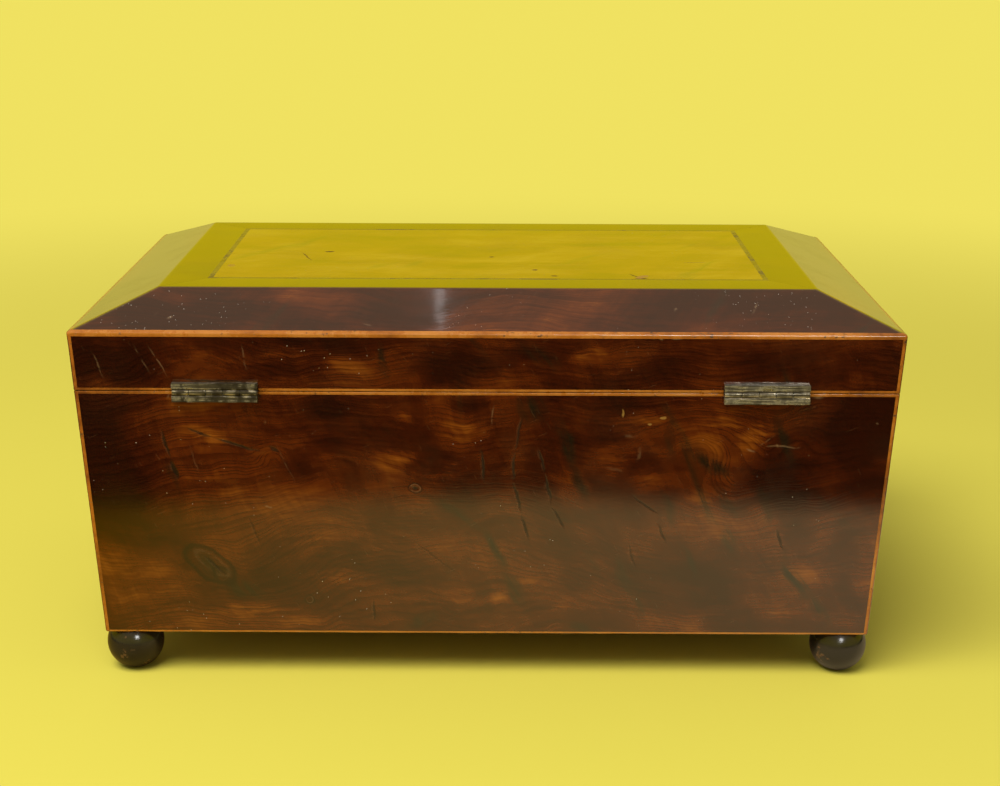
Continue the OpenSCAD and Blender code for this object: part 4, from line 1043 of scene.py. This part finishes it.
# Tray and knife rests. Waxed mahogany, plain butted and glued, with eased edges. The tray lifts out
# by two finger hollows, and stands on bearers above the lower rests.
wax_light = (0.30, 0.115, 0.036, 1)
wax_dark = (0.125, 0.040, 0.013, 1)
wax_pores = (0.045, 0.014, 0.006, 1)
wood_edge = 0.45 * MM


def waxed_wood(name, along, seed):
    """Waxed mahogany whose grain runs along X (0) or Y (1)."""
    material, tree, shader, place = finish(name)
    turned_place = stretch(tree, place, (1, 1, 1), (0, 0, along * math.pi / 2), (0, 0, seed))
    grain = use(tree, straight_grain, Place=turned_place, Waviness=0.012)
    worn = use(tree, handling, Place=place, Specks=0.1)
    ribbon = cloud(tree, stretch(tree, turned_place, (14, 50, 50)), 1, 3)
    tone = weigh(tree, grain["Tone"], ribbon, 0.6)
    colour = shades(tree, tone, (0.36, wax_dark), (0.64, wax_light))
    colour = tint(tree, calc(tree, "MULTIPLY", grain["Pores"], 0.7), colour, wax_pores)
    colour = tint(tree, calc(tree, "MULTIPLY", worn["Scratches"], 0.2), colour, bruise_and_highlight_tan)
    height = calc(tree, "SUBTRACT", grain["Tone"], grain["Pores"])
    wire(tree, shader, Base_Color=colour, Normal=relief(tree, height, 0.03 * MM),
         Roughness=ease(tree, worn["Dulled"], 0.0, 1.0, 0.34, 0.5))
    return material


for index, (node, along) in enumerate((
        ("tray_front", 0), ("tray_back", 0), ("tray_left", 1), ("tray_right", 1), ("tray_bottom", 0),
        ("tray_knife_rests", 1))):
    material = waxed_wood(f"waxed_{node}", along, 0.31 * index)
    filed_copy(node, f"{node}_eased", "tray", material, "tray_wood", wood_edge, 3)
rest_wood = waxed_wood("waxed_lower_rests", 1, 2.9)
for node in ("lower_knife_rests", "tray_bearers"):
    filed_copy(node, f"{node}_eased", "base", rest_wood, "tray_wood", wood_edge, 3)


# Floor, backdrop and light. A pale straw sheet lies under and behind the box, with a wide soft lamp
# overhead and an even surround. What polish mirrors of the sheet is painted reflection: deeper
# towards the left, and a painted dark past a short reach beyond the case.
straw = (0.870, 0.755, 0.120, 1)
deep_straw = (0.70, 0.560, 0.008, 1)
low_straw = (0.62, 0.520, 0.090, 1)
lit_straw = (0.70, 0.605, 0.085, 1)
painted_reflection_left = (0.34, 0.215, 0.002, 1)
painted_reflection_middle = (0.72, 0.500, 0.160, 1)
painted_reflection_right = (0.76, 0.580, 0.290, 1)
painted_reflection_dark = (0.030, 0.020, 0.008, 1)
sky_high = (0.44, 0.31, 0.19, 1)
sky_top = (0.35, 0.25, 0.18, 1)
even_light = (0.38, 0.375, 0.36, 1)
floor_reach = 3.0
fade_start = 0.38
fade_end = 1.15
mirror_fade_start = 0.142
mirror_fade_end = 0.176

mesh = bpy.data.meshes.new("floor_sheet")
work = bmesh.new()
bmesh.ops.create_circle(work, cap_ends=True, radius=floor_reach, segments=96)
work.to_mesh(mesh)
work.free()
floor = bpy.data.objects.new("floor_sheet", mesh)
bpy.context.scene.collection.objects.link(floor)

material = bpy.data.materials.new("floor_straw")
material.use_nodes = True
tree = material.node_tree
tree.nodes.clear()
place = put(tree, "ShaderNodeTexCoord").outputs["Object"]
path = put(tree, "ShaderNodeLightPath").outputs
reach = put(tree, "ShaderNodeVectorMath", {0: place}, operation="LENGTH").outputs["Value"]
corner = put(tree, "ShaderNodeSeparateXYZ", {0: place}).outputs
from_right = put(tree, "ShaderNodeMapRange", {
    "Value": corner["X"], "From Min": -0.2, "From Max": 0.2}).outputs[0]
# Painted reflection: polish sees the sheet in these colours, running from the right to the left, not in its
# own colour
mirrored = shades(tree, from_right, (0.1, painted_reflection_right), (0.5, painted_reflection_middle), (0.95, painted_reflection_left))
sheet_colour = tint(tree, path["Is Glossy Ray"], lit_straw, mirrored)
sheet = put(tree, "ShaderNodeBsdfDiffuse", {"Color": sheet_colour})
glow = put(tree, "ShaderNodeEmission", {"Color": straw, "Strength": 1.0})
shown = put(tree, "ShaderNodeMixShader", {
    0: ease(tree, reach, fade_start, fade_end), 1: sheet.outputs[0], 2: glow.outputs[0]})
# Painted dark reflection: past a short reach beyond the case, polish mirrors a dark sheet that is not there
dark = put(tree, "ShaderNodeEmission", {"Color": painted_reflection_dark, "Strength": 1.0})
past_x = calc(tree, "SUBTRACT", calc(tree, "ABSOLUTE", corner["X"]), lid_corner.x)
past_y = calc(tree, "SUBTRACT", calc(tree, "ABSOLUTE", corner["Y"]), lid_corner.y)
past_case = calc(tree, "ADD", calc(tree, "MAXIMUM", past_x, past_y), calc(
    tree, "MULTIPLY", calc(tree, "ABSOLUTE", corner["X"]), 0.08))
beyond = ease(tree, past_case, mirror_fade_start, mirror_fade_end)
beyond = calc(tree, "MULTIPLY", path["Is Glossy Ray"], beyond)
mirrored = put(tree, "ShaderNodeMixShader", {0: beyond, 1: shown.outputs[0], 2: dark.outputs[0]})
put(tree, "ShaderNodeOutputMaterial", {"Surface": mirrored.outputs[0]})
floor.data.materials.append(material)

world = bpy.data.worlds.new("soft_surround")
world.use_nodes = True
tree = world.node_tree
tree.nodes.clear()
path = put(tree, "ShaderNodeLightPath").outputs
direction = put(tree, "ShaderNodeTexCoord").outputs["Generated"]
height = put(tree, "ShaderNodeSeparateXYZ", {0: direction}).outputs["Z"]
mirror_sky = shades(tree, height, (0.04, low_straw), (0.13, deep_straw), (0.36, deep_straw),
                    (0.74, sky_high), (0.95, sky_top))
backdrop = tint(tree, path["Is Camera Ray"], mirror_sky, straw)
seen = calc(tree, "ADD", path["Is Camera Ray"], calc(
    tree, "ADD", path["Is Glossy Ray"], path["Is Transmission Ray"]), clamp=True)
surround = tint(tree, seen, even_light, backdrop)
put(tree, "ShaderNodeOutputWorld", {"Surface": put(
    tree, "ShaderNodeBackground", {"Color": surround, "Strength": 1.0}).outputs[0]})
bpy.context.scene.world = world


def soft_lamp(name, place, aim, size, power, seen_in_polish=True, shape="RECTANGLE", lights_surfaces=True):
    """A soft lamp that points at aim, which polish need not show and flat surfaces need not feel."""
    data = bpy.data.lights.new(name, "AREA")
    data.shape = shape
    data.size, data.size_y = size
    data.energy = power
    lamp = bpy.data.objects.new(name, data)
    bpy.context.scene.collection.objects.link(lamp)
    lamp.location = place
    lamp.rotation_euler = (Vector(aim) - Vector(place)).to_track_quat("-Z", "Y").to_euler()
    lamp.visible_glossy = seen_in_polish
    lamp.visible_diffuse = lights_surfaces
    lamp.visible_camera = False
    return lamp


soft_lamp("overhead_lamp", place=(0.6, 0.95, 1.8), aim=(0, 0, 0.05), size=(1.5, 1.2), power=47,
          seen_in_polish=False)
# A narrow window end, seen as a pale streak in the polish of the slope on the hinge side
soft_lamp("window_streak", place=(0.053, -0.515, 0.956), aim=(0.0185, 0.0723, 0.1498), size=(0.009, 0.084),
          power=0.003, shape="ELLIPSE")
# A window beside the camera, seen only as a glint on the arrises, the brass and the feet
soft_lamp("window_glint", place=(-0.32, 1.6, 0.86), aim=(-0.1, 0.1, 0.137), size=(0.40, 0.30), power=8,
          lights_surfaces=False)

bpy.context.scene.view_settings.view_transform = "Standard"
